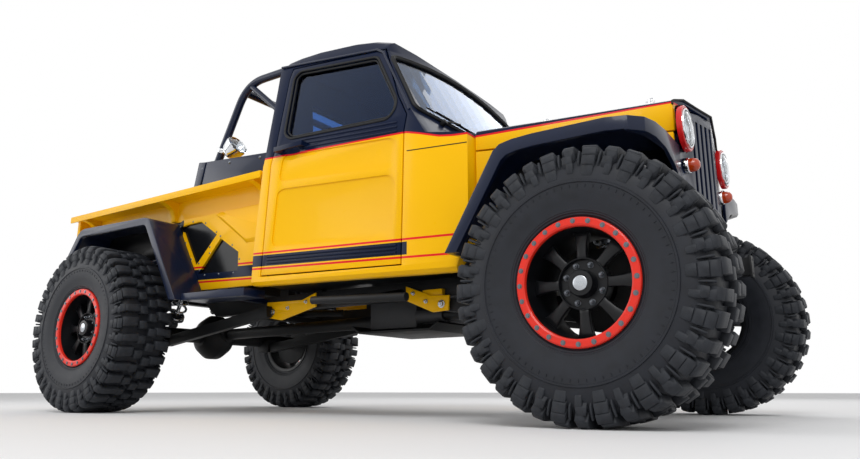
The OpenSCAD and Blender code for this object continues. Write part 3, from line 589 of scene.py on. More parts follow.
def tyre(end, hand):
    x, side = (FRONT_X if end == "front" else REAR_X), SIDES[hand]
    body, node = f"wheel_{end}_{hand}", f"tyre_{end}_{hand}"
    outer = [(r, -d) for r, d in TYRE_HALF]
    inner = [(r, d) for r, d in reversed(TYRE_HALF[:-1])]
    cavity = [(0.224, 0.118), (0.300, 0.148), (0.420, 0.150), (0.470, 0.120), (0.474, -0.120),
              (0.420, -0.150),
              (0.300, -0.148), (0.224, -0.118)]
    bm = bmesh.new()
    lathe(bm, outer + inner + cavity, (0, 0, 0), steps=144)
    place = wheel_place(x, side)
    bm.transform(Matrix.Translation((0, -TYRE_MID, 0)))
    bm.transform(place)
    middle = place @ Matrix.Translation((0, -TYRE_MID, 0))
    piece(f"tyre_carcass_{end}_{hand}", bm, "tyre_side", body, replaces=(node,), angle=28)
    repeated(f"tyre_lugs_{end}_{hand}", tyre_lugs(), LUG_PAIRS, (0, 2 * pi / LUG_PAIRS, 0), "tyre", body,
             place=middle, bevel=0.002, angle=50)
    bm = bmesh.new()
    box(bm, (0.346, -0.1792, -0.0008), (0.3575, -0.170, 0.0008))
    repeated(f"sidewall_ticks_{end}_{hand}", bm, 72, (0, 2 * pi / 72, 0), "tyre_side", body,
             place=middle, angle=50)


RING_OUT, RING_FACE = 0.240, 1.050
BOLT_CIRCLE, NUT_CIRCLE = 0.2245, 0.0745


def spoke(bm):
    """One spoke, waisted and flaring into the barrel, its face sloping in towards the hub."""
    outline = [(0.090, 0.0215), (0.110, 0.0190), (0.150, 0.0215), (0.178, 0.0270), (0.190, 0.0310),
               (0.2015, 0.0380)]
    front = {0.090: 0.984, 0.110: 0.984, 0.150: 0.982, 0.178: 0.979, 0.190: 0.976, 0.2015: 0.970}
    rows = []
    for r, w in outline:
        y = front[r]
        rows.append([bm.verts.new((r, -y, w)), bm.verts.new((r, -y, -w)),
                     bm.verts.new((r, -(y - 0.040), -w * 0.82)), bm.verts.new((r, -(y - 0.040), w * 0.82))])
    bridge(bm, rows)
    bm.faces.new(rows[0])
    bm.faces.new(rows[-1][::-1])


def rim(end, hand):
    x, side = (FRONT_X if end == "front" else REAR_X), SIDES[hand]
    body, node = f"wheel_{end}_{hand}", f"rim_{end}_{hand}"
    place = wheel_place(x, side)
    bm = bmesh.new()
    barrel = [(0.2135, -1.033), (0.2135, -1.000), (0.204, -0.962), (0.204, -0.830), (0.2135, -0.790),
              (0.2175, -0.757),
              (0.231, -0.751), (0.231, -0.743), (0.224, -0.743), (0.209, -0.750), (0.203, -0.790),
              (0.194, -0.830),
              (0.194, -0.955), (0.2045, -1.000), (0.2065, -1.033)]
    lathe(bm, barrel, (0, 0, 0))
    bm.transform(place)
    piece(f"rim_barrel_{end}_{hand}", bm, "rim", body, replaces=(node,), angle=30)
    bm = bmesh.new()
    spoke(bm)
    repeated(f"rim_spokes_{end}_{hand}", bm, 8, (0, pi / 4, 0), "rim", body, place, bevel=0.004,
             angle=50)
    hub = [(0.0, -0.906), (0.090, -0.906), (0.099, -0.930), (0.099, -0.982), (0.096, -0.987),
           (0.0935, -0.987),
           (0.092, -0.983), (0.092, -0.968), (0.053, -0.968), (0.051, -0.974), (0.050, -1.000),
           (0.046, -1.007),
           (0.030, -1.009), (0.0285, -1.006), (0.0, -1.006)]
    bm = lathe_solid(hub, (0, 0, 0), steps=64)
    bm.transform(place)
    piece(f"rim_hub_{end}_{hand}", bm, "rim", body, angle=30)
    bm = lathe_solid([(0.0, -1.005), (0.0275, -1.005), (0.0275, -1.009), (0.024, -1.0105), (0.0, -1.0112)],
                     (0, 0, 0),
                     steps=48)
    bm.transform(place)
    piece(f"rim_cap_disc_{end}_{hand}", bm, "satin", body, angle=30)
    # beadlock ring with its raised rib
    ring = [(0.2045, -1.033), (RING_OUT - 0.001, -1.034), (RING_OUT, -1.040), (RING_OUT - 0.002, -1.047),
            (RING_OUT - 0.007, -RING_FACE), (0.213, -RING_FACE), (0.2065, -1.046)]
    bm = bmesh.new()
    lathe(bm, ring, (0, 0, 0), steps=120)
    bm.transform(place)
    piece(f"beadlock_ring_{end}_{hand}", bm, "ring", body, angle=25)
    bm = bmesh.new()
    # a hexagonal head, from 1.048 to 1.0535 out, over its washer
    turn = Matrix.Rotation(pi / 2, 4, "X")
    drum(bm, 6, 0.0068, 1.0535 - 1.048, Matrix.Translation((BOLT_CIRCLE, -(1.048 + 1.0535) / 2, 0)) @ turn,
         top=0.0068 * 0.94)
    drum(bm, 14, 0.0098, 0.002, Matrix.Translation((BOLT_CIRCLE, -1.0505, 0)) @ turn)
    repeated(f"beadlock_bolts_{end}_{hand}", bm, 24, (0, 2 * pi / 24, 0), "steel", body, place,
             angle=40)
    bm = bmesh.new()
    # a nut with its washer and the end of its stud
    nut = Matrix.Rotation(pi / 8, 4, "Y") @ Matrix.Translation((NUT_CIRCLE, -0.972, 0)) @ turn
    drum(bm, 6, 0.0110, 0.016, nut, top=0.0104)
    drum(bm, 16, 0.0130, 0.006, nut @ Matrix.Translation((0, 0, -0.004)))
    drum(bm, 12, 0.0062, 0.024, nut @ Matrix.Translation((0, 0, 0.004)), top=0.0058)
    repeated(f"lug_nuts_{end}_{hand}", bm, 8, (0, pi / 4, 0), "steel", body, place, bevel=0.0015,
             angle=40)


for end in ("front", "rear"):
    for hand in SIDES:
        tyre(end, hand)
        rim(end, hand)


# ---------------------------------------------------------------- cab and doors

def side_y(z):
    """Half width of the cab side at a height: upright to the belt, then leaning in."""
    return 0.800 - max(0.0, z - 1.380) * 0.22


def gutter_z(x):
    return 1.940 + (0.525 - x) * 0.149


def on_side(points, side, out=0.0):
    """(x, z) points put on the cab side, let out by out, as 3-D points."""
    return [Vector((x, side * (side_y(z) + out), z)) for x, z in points]


def between(a, b, count):
    """Points spread evenly from a to b, both ends included."""
    return [(a[0] + (b[0] - a[0]) * k / count, a[1] + (b[1] - a[1]) * k / count) for k in range(count + 1)]


def band_z(x):
    """Middle height of the dark band low on the doors."""
    x0, z0, slope, _, _ = CAB_BAND
    return z0 + slope * (x - x0)


def pressed(bm, outline, side, depth, radius=0.022):
    """Adds a cutter that presses an (x, z) outline into the cab side to a depth."""
    corners = rounded([(x, 0, z) for x, z in outline], radius)
    cutter = bmesh.new()
    outer = [cutter.verts.new((x, -0.82, z)) for x, _, z in corners]
    inner = [cutter.verts.new((x, -0.79, z)) for x, _, z in corners]
    bridge(cutter, (outer, inner))
    cutter.faces.new(outer[::-1])
    cutter.faces.new(inner)
    bmesh.ops.bisect_plane(cutter, geom=cutter.verts[:] + cutter.edges[:] + cutter.faces[:], dist=1e-6,
                           plane_co=(0, 0, 1.380), plane_no=(0, 0, 1))
    for v in cutter.verts:
        v.co.y = side * (side_y(v.co.z) + 0.02 if v.co.y < -0.80 else side_y(v.co.z) - depth)
    bmesh.ops.recalc_face_normals(cutter, faces=cutter.faces)
    absorb(bm, cutter)


UPPER_PANEL = [(-0.066, 1.416), (0.691, 1.362), (0.729, 1.331), (0.718, 1.229), (0.687, 1.214),
               (-0.064, 1.263),
               (-0.089, 1.288)]
LOWER_PANEL = [(-0.061, 1.220), (0.688, 1.170), (0.726, 1.130), (0.705, 0.877), (0.669, 0.854),
               (-0.093, 0.893),
               (-0.123, 0.921), (-0.099, 1.203)]
WINDOW = [(-0.045, 1.522), (-0.103, 1.566), (-0.131, 1.948), (-0.092, 1.982), (0.508, 1.898), (0.694, 1.580),
          (0.690, 1.520), (0.655, 1.478)]


def let_out(points, gap):
    """A closed (x, z) outline grown by gap on every side."""
    n = len(points)
    area = sum(points[k - 1][0] * points[k][1] - points[k][0] * points[k - 1][1] for k in range(n))
    turn = 1 if area > 0 else -1
    out = []
    for k in range(n):
        (x0, z0), (x1, z1), (x2, z2) = points[k - 1], points[k], points[(k + 1) % n]
        a = Vector((z1 - z0, x0 - x1)).normalized() * turn
        b = Vector((z2 - z1, x1 - x2)).normalized() * turn
        c = (a + b).normalized()
        out.append((x1 + c.x * gap / max(0.4, c.dot(a)), z1 + c.y * gap / max(0.4, c.dot(a))))
    return out


def door(hand):
    """Door skin with two pressed panels, its beads, the handle's finger scoop, and the window rubber."""
    side, body = SIDES[hand], f"door_{hand}"
    cutters = bmesh.new()
    pressed(cutters, UPPER_PANEL, side, 0.0075)
    pressed(cutters, LOWER_PANEL, side, 0.0075)
    scoop = bmesh.new()
    bowl = Matrix.Translation((0.0, side * 0.800, 1.418)) @ Matrix.Diagonal((0.066, 0.018, 0.044, 1))
    bmesh.ops.create_uvsphere(scoop, u_segments=32, v_segments=20, radius=1.0, matrix=bowl)
    refined(f"door_{hand}", "cab", body, bevel=0.0025, cutters=(cutters, scoop))
    # beads that stand proud of the skin, under the window and along the lower band
    for k in range(3):
        a = (0.042 + 0.0215 * k, 1.491 - 0.027 * k)
        b = (0.725 + 0.0045 * k, 1.440 - 0.0265 * k)
        steps = between(a, b, 12)
        tube(f"door_bead_upper_{k}_{hand}", on_side(steps, side, -0.0004), 0.0062, "cab", body)
    for k in (-1, 0, 1):
        steps = [(-0.150 + 0.888 * t / 12, band_z(-0.150 + 0.888 * t / 12) + 0.018 * k) for t in range(13)]
        tube(f"door_bead_lower_{k + 1}_{hand}", on_side(steps, side, -0.0004), 0.0062, "cab", body)
    # window rubber round the glass, over the cut edge of the skin
    outline = rounded([(x, 0, z) for x, z in let_out(WINDOW, 0.004)], 0.030, 6)
    seal = [Vector((x, side * (side_y(z) - 0.001), z)) for x, _, z in outline]
    tube(f"window_rubber_{hand}", seal, 0.0075, "rubber", body, cyclic=True)
    inner = rounded([(x, 0, z) for x, z in let_out(WINDOW, -0.012)], 0.026, 6)
    seal = [Vector((x, side * (side_y(z) - 0.0125), z)) for x, _, z in inner]
    tube(f"window_rubber_inner_{hand}", seal, 0.0065, "rubber", body, cyclic=True)


refined("cab_shell", "cab", "root", bevel=0.003)
for hand in SIDES:
    door(hand)


def screen_point(y, frac, lift=0.0):
    """A point on the windscreen: frac is 0 at the header and 1 at the foot, and lift moves it outwards."""
    k = (abs(y) / 0.800) ** 2
    top = Vector((0.582 + (0.572 - 0.582) * k, y, 2.004 + (1.890 - 2.004) * k))
    foot = Vector((0.893 + (0.795 - 0.893) * k, y, 1.432 + (1.500 - 1.432) * k))
    along = (foot - top).normalized()
    return top + (foot - top) * frac + Vector((-along.z, 0, along.x)) * lift


def screen_edge(z):
    return 0.640 + (2.200 - z) * 0.14


def screen_outline(frac_a, frac_b, inset):
    """Closed outline on the windscreen between two fractions, rounded at its corners."""
    corners = []
    for frac, order in ((frac_a, range(9)), (frac_b, range(8, -1, -1))):
        edge = screen_edge(screen_point(0.7, frac).z) - inset
        corners += [(edge * (k / 4 - 1), frac) for k in order]
    flat = rounded([(y, f * 0.65, 0) for y, f in corners], 0.045, 6)
    return [(y, f / 0.65) for y, f, _ in flat]


# windscreen rubber: a fat bead over the joint, and a chrome-dark filler strip in it
for name, inset, radius, lift, finish in (("windscreen_rubber", 0.004, 0.0125, 0.001, "rubber"),
                                          ("windscreen_filler", 0.003, 0.0035, 0.0128, "dark")):
    ring = [screen_point(y, f, lift) for y, f in screen_outline(0.095, 0.925, inset)]
    tube(name, ring, radius, finish, "root", cyclic=True)


def wiper(name, pivot, tip, blade_a, blade_b):
    """Arm from its spindle to the blade, the blade resting along the glass."""
    elbow = ((pivot[0] + tip[0]) / 2, (pivot[1] + tip[1]) / 2)
    arm = [screen_point(*pivot, 0.026), screen_point(*elbow, 0.030), screen_point(*tip, 0.024)]
    tube(name + "_arm", arm, 0.0052, "dark", "root")
    steps = between(blade_a, blade_b, 8)
    tube(name + "_blade", [screen_point(y, f, 0.013) for y, f in steps], 0.0045, "dark", "root")
    tube(name + "_bridge", [screen_point(y, f, 0.0185) for y, f in steps[1:-1]], 0.0042, "rubber", "root")
    bm = bmesh.new()
    base = screen_point(*pivot, -0.004)
    rod(bm, base, screen_point(*pivot, 0.032), 0.015)
    piece(name + "_spindle", bm, "dark", "root", bevel=0.003, angle=40)


wiper("wiper_right", (-0.560, 0.985), (-0.400, 0.880), (-0.640, 0.850), (-0.150, 0.905))
wiper("wiper_left", (0.120, 0.985), (0.290, 0.880), (0.060, 0.890), (0.560, 0.860))


# rain gutters over the doors and down the windscreen pillars
for hand, side in SIDES.items():
    line = [Vector((x, side * (side_y(gutter_z(x)) + 0.004), gutter_z(x) + 0.004))
            for x in (-0.267, -0.150, 0.0, 0.161, 0.350, 0.500)]
    line += [Vector((0.548, side * (side_y(1.917) + 0.003), 1.917)),
             Vector((0.600, side * (side_y(1.830) + 0.002), 1.830)),
             Vector((0.740, side * (side_y(1.590) + 0.001), 1.590)),
             Vector((0.790, side * (side_y(1.500)), 1.500))]
    tube(f"drip_rail_{hand}", line, 0.0068, "navy", "root")
    # cowl seam where the wing meets the cab
    seam = [(0.796, 1.272), (0.900, 1.264), (1.020, 1.255), (1.138, 1.246)]
    tube(f"cowl_seam_{hand}", on_side(seam, side, -0.0008), 0.0028, "dark", "root")

# rear window rubber
ring = rounded([(-0.243, -0.429, 1.546), (-0.258, -0.429, 1.874), (-0.258, 0.429, 1.874),
                (-0.243, 0.429, 1.546)], 0.05, 6)
tube("rear_window_rubber", ring, 0.011, "rubber", "root", cyclic=True)


# ---------------------------------------------------------------- nose

refined("hood", "nose", "hood", bevel=0.003)
refined("front_fenders", "fender", "root", bevel=0.003)
for node in ("grille_panel", "front_flares", "rear_fenders", "step_bars"):
    refined(node, "navy", "root", bevel=0.003)


def nose_w(x):
    """Half width of the bonnet at x."""
    return 0.740 + (0.422 - 0.740) * (x - 1.150) / (1.970 - 1.150)


def bonnet_top(x, share):
    """Height of the bonnet's skin at x, at a share of its half width from the middle."""
    side_z = 1.318 + (1.390 - 1.318) * (x - 1.150) / 0.820
    mid_z = 1.358 + (1.430 - 1.358) * (x - 1.150) / 0.820
    return (side_z + mid_z) / 2 + 0.012 + (0.72 - share) * 0.02


def catch(name, x, side):
    """A chromed bonnet pin on its scuff plate: stem, collar, ring pull and cross pin."""
    y = side * nose_w(x) * 0.74
    z = bonnet_top(x, 0.74) - 0.004
    bm = bmesh.new()
    lathe(bm, [(0.0, 0.0), (0.026, 0.0), (0.0275, 0.004), (0.025, 0.0065), (0.010, 0.0070), (0.0095, 0.014),
               (0.0070, 0.016), (0.0070, 0.034), (0.0050, 0.038), (0.0, 0.039)], (x, y, z), axis="Z",
          steps=36,
          closed=False)
    ring = [(0.013 + 0.0022 * cos(2 * pi * k / 10), 0.0022 * sin(2 * pi * k / 10)) for k in range(10)]
    lathe(bm, ring, (x + 0.012, y, z + 0.026), axis="Y", steps=32)
    drum(bm, 16, 0.0026, 0.032, Matrix.Translation((x, y, z + 0.026)) @ Matrix.Rotation(pi / 2, 4, "Y"))
    piece(name, bm, "chrome", "hood", angle=40)


for hand, side in SIDES.items():
    catch(f"bonnet_pin_rear_{hand}", 1.385, side)
    catch(f"bonnet_pin_front_{hand}", 1.850, side)

LAMP_X, LAMP_Y, LAMP_Z = 1.992, 0.356, 1.263


def headlight(hand):
    """Red bucket, chromed bezel, reflector with its projector plate, and a bulged clear lens."""
    side = SIDES[hand]
    centre = (LAMP_X, side * LAMP_Y, LAMP_Z)
    bm = bmesh.new()
    lathe(bm, [(0.0935, -0.004), (0.1030, -0.002), (0.1040, 0.012), (0.1035, 0.0185), (0.1000, 0.0215),
               (0.0920, 0.0205), (0.0880, 0.0120), (0.0880, -0.004)], centre, axis="X", steps=96)
    piece(f"headlight_bucket_{hand}", bm, "bucket", "root", angle=28, replaces=("headlights",))
    bm = bmesh.new()
    lathe(bm, [(0.0885, 0.010), (0.0900, 0.0200), (0.0885, 0.0255), (0.0850, 0.0275), (0.0815, 0.0255),
               (0.0795, 0.0180), (0.0800, 0.010)], centre, axis="X", steps=96)
    piece(f"headlight_bezel_{hand}", bm, "chrome", "root", angle=40)
    bm = lathe_solid([(0.0, -0.012), (0.020, -0.012), (0.050, -0.006), (0.080, 0.012), (0.0815, 0.0105),
                      (0.051, -0.009), (0.020, -0.015), (0.0, -0.015)], centre, "X", 72)
    piece(f"headlight_reflector_{hand}", bm, "chrome", "root", angle=60)
    bm = bmesh.new()
    # projector plate: two dark bars set in a cross, for the small lenses that follow
    for back, ahead, wide, high in ((0.010, 0.004, 0.062, 0.017), (0.012, 0.002, 0.026, 0.050)):
        box(bm, (LAMP_X - back, side * LAMP_Y - wide, LAMP_Z - high),
            (LAMP_X + ahead, side * LAMP_Y + wide, LAMP_Z + high))
    piece(f"headlight_plate_{hand}", bm, "dark", "root", bevel=0.004, angle=35)
    bm = bmesh.new()
    for dy, dz, r in ((-0.042, 0, 0.012), (0.042, 0, 0.012), (0, 0, 0.016), (0, 0.034, 0.010),
                      (0, -0.034, 0.010)):
        lathe(bm, [(0.0, 0.014), (r * 0.6, 0.0125), (r * 0.9, 0.008), (r, 0.003), (0.0, 0.003)],
              (LAMP_X, side * LAMP_Y + dy, LAMP_Z + dz), axis="X", steps=28, closed=False)
    piece(f"headlight_projectors_{hand}", bm, "chrome", "root", angle=50)
    bm = lathe_solid([(0.0, 0.0375), (0.030, 0.0365), (0.055, 0.0330), (0.072, 0.0275), (0.0812, 0.0205),
                      (0.0812, 0.0175), (0.072, 0.0250), (0.055, 0.0305), (0.030, 0.0340), (0.0, 0.0350)],
                     centre, "X", 72)
    piece(f"headlight_lens_{hand}", bm, "clear", "root", angle=60)


def turn_signal(hand):
    """Chromed collar with an amber bullet lens."""
    side = SIDES[hand]
    centre = (1.978, side * 0.323, 1.102)
    bm = lathe_solid([(0.0, 0.0), (0.033, 0.0), (0.0355, 0.004), (0.0355, 0.018), (0.0335, 0.022),
                      (0.031, 0.022),
                      (0.0, 0.020)], centre, "X", 48)
    piece(f"turn_signal_collar_{hand}", bm, "chrome", "root", angle=30, replaces=("turn_signals",))
    bm = lathe_solid([(0.0, 0.018), (0.0305, 0.018), (0.0305, 0.034), (0.029, 0.046), (0.024, 0.057),
                      (0.014, 0.0645),
                      (0.0, 0.067)], centre, "X", 48)
    piece(f"turn_signal_lens_{hand}", bm, "amber", "root", angle=50)


for hand in SIDES:
    headlight(hand)
    turn_signal(hand)

# dark weatherstrip along the front edge of the bonnet, over the grille: out to a V in the middle
LIP = [(0.422, 1.970, 1.366), (0.414, 1.970, 1.386), (0.396, 1.973, 1.394), (0.304, 1.990, 1.422),
       (0.169, 2.012, 1.424), (0.0, 2.040, 1.430)]
lip = [Vector((x + 0.001, -y, z - 0.002)) for y, x, z in LIP]
lip += [Vector((x + 0.001, y, z - 0.002)) for y, x, z in reversed(LIP[:-1])]
tube("bonnet_front_strip", lip, 0.0055, "dark", "hood")

# ---------------------------------------------------------------- load bed

refined("bed", "bed", "root", bevel=0.003)
refined("link_brackets", "yellow", "root", bevel=0.003)
cutters = bmesh.new()
for k in range(5):
    box(cutters, (-2.2200, -0.46 + 0.20 * k, 1.10), (-2.2170, -0.34 + 0.20 * k, 1.24))
refined("tailgate", "yellow", "tailgate", bevel=0.003, cutters=(cutters,))

SKIRT_WINDOWS = ([(-1.099, 1.159), (-1.060, 1.170), (-0.907, 1.174), (-0.744, 1.070), (-0.931, 0.887)],
                 [(-0.706, 1.041), (-0.535, 0.938), (-0.529, 0.824), (-0.898, 0.838)])


def plate(bm, outline, side, near, far):
    """A flat plate from an (x, z) outline, between two distances from the middle."""
    rows = [[bm.verts.new((x, side * d, z)) for x, z in outline] for d in (near, far)]
    bridge(bm, rows)
    bm.faces.new(rows[0][::-1])
    bm.faces.new(rows[1])


def along_outline(points, count, gap):
    """Places spread along a closed outline, a gap inside it."""
    inner = let_out(points, -gap)
    legs = [(Vector(inner[k]), Vector(inner[(k + 1) % len(inner)])) for k in range(len(inner))]
    total = sum((b - a).length for a, b in legs)
    out = []
    for k in range(count):
        left = total * k / count
        for a, b in legs:
            if left <= (b - a).length:
                out.append(a.lerp(b, left / (b - a).length))
                break
            left -= (b - a).length
    return out


for hand, side in SIDES.items():
    screws = bmesh.new()
    for number, outline in enumerate(SKIRT_WINDOWS):
        for spot in along_outline(outline, 8, -0.011):
            lathe(screws, [(0.0, 0.0035), (0.0045, 0.0028), (0.0068, 0.0), (0.0, 0.0)],
                  (spot.x, 0.6798, spot.y), steps=14, closed=False)
        # opaque dark panel in each skirt window: its own dark tint plus painted shade for the wheel house
        # behind it
        bm = bmesh.new()
        plate(bm, outline, side, 0.662, 0.664)
        piece(f"skirt_panel_{number}_{hand}", bm, "skirt_panel_shade", "root")
    screws.transform(Matrix.Diagonal((1, side, 1, 1)))
    swage = bmesh.new()
    low = [(-0.770, 1.200), (-0.700, 1.207), (-0.322, 1.203), (-0.322, 0.985), (-0.470, 0.985),
           (-0.500, 1.010)]
    high = [(-0.700, 1.172), (-0.655, 1.184), (-0.338, 1.075), (-0.338, 1.010), (-0.462, 1.005),
            (-0.490, 1.022)]
    rings = [[swage.verts.new((x, side * y, z)) for x, z in line]
             for line, y in ((low, 0.6790), (low, 0.6802), (high, 0.6920))]
    bridge(swage, rings)
    swage.faces.new(rings[0][::-1])
    swage.faces.new(rings[2])
    piece(f"bed_corner_swage_{hand}", swage, "bed", "root", bevel=0.002, limit=8, angle=20)
    piece(f"skirt_screws_{hand}", screws, "steel", "root", angle=60)


# side plates over the bed rails, with a folded front flange and dome bolts
PLATE = [(-1.062, 1.363), (-1.036, 1.436), (-1.000, 1.590), (-0.955, 1.583), (-0.330, 1.532), (-0.316, 1.363)]
for hand, side in SIDES.items():
    bm = bmesh.new()
    plate(bm, PLATE, side, 0.646, 0.656)
    piece(f"bed_side_plate_{hand}", bm, "navy", "root", bevel=0.002,
          replaces=("bed_side_plates",))
    bm = bmesh.new()
    plate(bm, [(-1.058, 1.366), (-1.032, 1.436), (-0.998, 1.586), (-0.930, 1.577), (-0.985, 1.366)], side,
          0.656, 0.661)
    piece(f"bed_plate_flange_{hand}", bm, "navy", "root", bevel=0.0015)
    bm = bmesh.new()
    for x, z in ((-0.700, 1.535), (-0.420, 1.515), (-0.960, 1.540), (-1.000, 1.410)):
        lathe(bm, [(0.0, 0.007), (0.005, 0.006), (0.009, 0.003), (0.0105, 0.0), (0.0, 0.0)], (x, 0.6565, z),
              steps=20,
              closed=False)
    bm.transform(Matrix.Diagonal((1, side, 1, 1)))
    piece(f"bed_plate_bolts_{hand}", bm, "steel", "root", angle=50)


def tail_lamp(hand):
    side = SIDES[hand]
    centre = (-2.255, side * 0.702, 1.180)
    bm = lathe_solid([(0.0, 0.030), (0.0300, 0.030), (0.0325, 0.010), (0.0325, -0.004), (0.0300, -0.008),
                      (0.0270, -0.006), (0.0, -0.004)], centre, "X", 40)
    piece(f"tail_lamp_bezel_{hand}", bm, "chrome", "root", angle=35, replaces=("tail_lamps",))
    bm = lathe_solid([(0.0, -0.0120), (0.010, -0.0115), (0.0105, -0.0105), (0.018, -0.0100),
                      (0.0185, -0.0090),
                      (0.0265, -0.0060), (0.0265, 0.0), (0.0, 0.0)], centre, "X", 40)
    piece(f"tail_lamp_lens_{hand}", bm, "tail", "root", angle=25)


for hand in SIDES:
    tail_lamp(hand)


def coil(name, a, b, radius, wire, turns, material="navy"):
    """A coil spring between two points, with its ends ground flat."""
    a, b = Vector(a), Vector(b)
    along = b - a
    turn = along.to_track_quat("Z", "Y").to_matrix()
    steps = int(turns * 20)
    line = []
    for k in range(steps + 1):
        t = k / steps
        rise = min(max((t * turns - 0.8) / (turns - 1.6), 0.0), 1.0)
        angle = 2 * pi * turns * t
        line.append(a + turn @ Vector((radius * cos(angle), radius * sin(angle), along.length * rise)))
    tube(name, line, wire, material, "root", steps=2, angle=60)


COILOVERS = (("rear", (-1.330, 0.520, 0.560), (-1.080, 0.570, 0.968), "satin"),
             ("front", (1.690, 0.508, 0.562), (1.622, 0.496, 1.016), "satin"))
for end, low, high, finish in COILOVERS:
    for hand, side in SIDES.items():
        a, b = (Vector((p[0], p[1] * side, p[2])) for p in (low, high))
        bm = bmesh.new()
        rod(bm, a, a.lerp(b, 0.50), 0.013)
        piece(f"damper_rod_{end}_{hand}", bm, "chrome", "root", bevel=0.001,
              replaces=("coilovers",))
        bm = bmesh.new()
        rod(bm, a.lerp(b, 0.42), b, 0.0288, 32)
        rod(bm, a.lerp(b, 0.44), a.lerp(b, 0.47), 0.0296, 32)
        for k in range(9):
            rod(bm, a.lerp(b, 0.70 + 0.012 * k), a.lerp(b, 0.706 + 0.012 * k), 0.0302, 32)
        piece(f"damper_body_{end}_{hand}", bm, "steel", "root", bevel=0.0012)
        bm = bmesh.new()
        rod(bm, a.lerp(b, 0.080), a.lerp(b, 0.110), 0.055, 40)
        rod(bm, a.lerp(b, 0.820), a.lerp(b, 0.850), 0.055, 40)
        rod(bm, a.lerp(b, 0.110), a.lerp(b, 0.130), 0.036, 32)
        rod(bm, a.lerp(b, 0.800), a.lerp(b, 0.820), 0.036, 32)
        for spot in (a, b):
            rod(bm, spot - Vector((0, 0.022, 0)), spot + Vector((0, 0.022, 0)), 0.022, 28)
        piece(f"spring_seats_{end}_{hand}", bm, "cast", "root", bevel=0.002)
        coil(f"coil_spring_{end}_{hand}", a.lerp(b, 0.118), a.lerp(b, 0.812), 0.047, 0.0078, 7.5, finish)


def bent(points, radius, steps=14):
    """An open path with its inner corners bent to arcs."""
    pts = [Vector(p) for p in points]
    out = [pts[0]]
    for a, p, b in zip(pts, pts[1:], pts[2:]):
        cut = min(radius, (a - p).length * 0.45, (b - p).length * 0.45)
        start, end = p + (a - p).normalized() * cut, p + (b - p).normalized() * cut
        out += [(1 - t / steps) ** 2 * start + 2 * (t / steps) * (1 - t / steps) * p + (t / steps) ** 2 * end
                for t in range(steps + 1)]
    return out + [pts[-1]]


# roll bar: two bent hoops, a cross tube at the bend, braces to the cab, and bolted feet
for hand, side in SIDES.items():
    hoop = bent([(-1.170, HOOP_Y * side, 1.012), (-0.640, HOOP_Y * side, 2.072),
                 (-0.296, HOOP_Y * side, 2.068)], 0.150)
    obj = tube(f"roll_bar_hoop_{hand}", hoop, 0.025, "navy", "root", steps=8)
    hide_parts("roll_bar")
    tube(f"roll_bar_brace_{hand}", [(-0.600, HOOP_Y * side, 2.044), (-0.284, HOOP_Y * side, 1.774)], 0.019,
         "navy", "root",
         steps=6)
    bm = bmesh.new()
    near, far = sorted((0.556 * side, 0.636 * side))
    box(bm, (-1.230, near, 1.005), (-1.110, far, 1.013))
    piece(f"roll_bar_foot_{hand}", bm, "navy", "root", bevel=0.002)
tube("roll_bar_cross", [(-0.664, -HOOP_Y, 2.020), (-0.664, HOOP_Y, 2.020)], 0.025, "navy", "root",
     steps=8)

bm = bmesh.new()
for side in (1, -1):
    for x, y in ((-1.213, 0.618), (-1.127, 0.618), (-1.213, 0.574), (-1.127, 0.574)):
        drum(bm, 6, 0.009, 0.008, Matrix.Translation((x, side * y, 1.017)), top=0.0085)
        drum(bm, 20, 0.012, 0.002, Matrix.Translation((x, side * y, 1.0135)))
piece("roll_bar_foot_bolts", bm, "steel", "root", bevel=0.001)


def work_lamp(hand):
    """Clamp, arm, finned housing, bezel and lens of a lamp on the roll bar."""
    side = SIDES[hand]
    grip = Vector((-0.846, HOOP_Y * side, 1.654))
    along = Vector((0.232, 0, 0.464)).normalized()
    bm = bmesh.new()
    turn = along.to_track_quat("Z", "Y").to_matrix().to_4x4()
    ring = bmesh.new()
    lathe(ring, [(0.0253, -0.014), (0.0345, -0.014), (0.0360, -0.010), (0.0360, 0.010), (0.0345, 0.014),
                 (0.0253, 0.014)], (0, 0, 0), axis="Z", steps=48)
    ring.transform(Matrix.Translation(grip) @ turn)
    absorb(bm, ring)
    rod(bm, grip + Vector((0.034, 0, -0.008)), grip + Vector((0.075, 0, -0.030)), 0.0095)
    piece(f"work_lamp_clamp_{hand}", bm, "chrome", "root", bevel=0.001, replaces=("work_lamps",))
    face = (Matrix.Translation(grip + Vector((0.058, 0, -0.040))) @ Matrix.Rotation(radians(58), 4, "Y")
            @ Matrix.Diagonal((1.45, 1.45, 1.45, 1)))
    shell = [(0.0, 0.0), (0.026, 0.004), (0.033, 0.011), (0.0335, 0.014), (0.039, 0.017), (0.0395, 0.020),
             (0.044, 0.026), (0.049, 0.054), (0.050, 0.060), (0.050, 0.071), (0.047, 0.0725), (0.0450, 0.068),
             (0.030, 0.050), (0.0, 0.046)]
    bm = lathe_solid(shell, (0, 0, 0), "Z", 56)
    bm.transform(face)
    piece(f"work_lamp_housing_{hand}", bm, "chrome", "root", angle=30)
    bm = lathe_solid([(0.0, 0.0720), (0.020, 0.0705), (0.036, 0.0690), (0.0452, 0.0675), (0.0452, 0.0650),
                      (0.020, 0.0670), (0.0, 0.0680)], (0, 0, 0), "Z", 48)
    bm.transform(face)
    piece(f"work_lamp_lens_{hand}", bm, "clear", "root", angle=60)


for hand in SIDES:
    work_lamp(hand)


# ---------------------------------------------------------------- cabin

def channel_depth(d):
    """Depth of a sewn channel at a distance from its seam, from 0 to 1."""
    return max(0.0, 1 - abs(d) / 0.07) ** 1.5


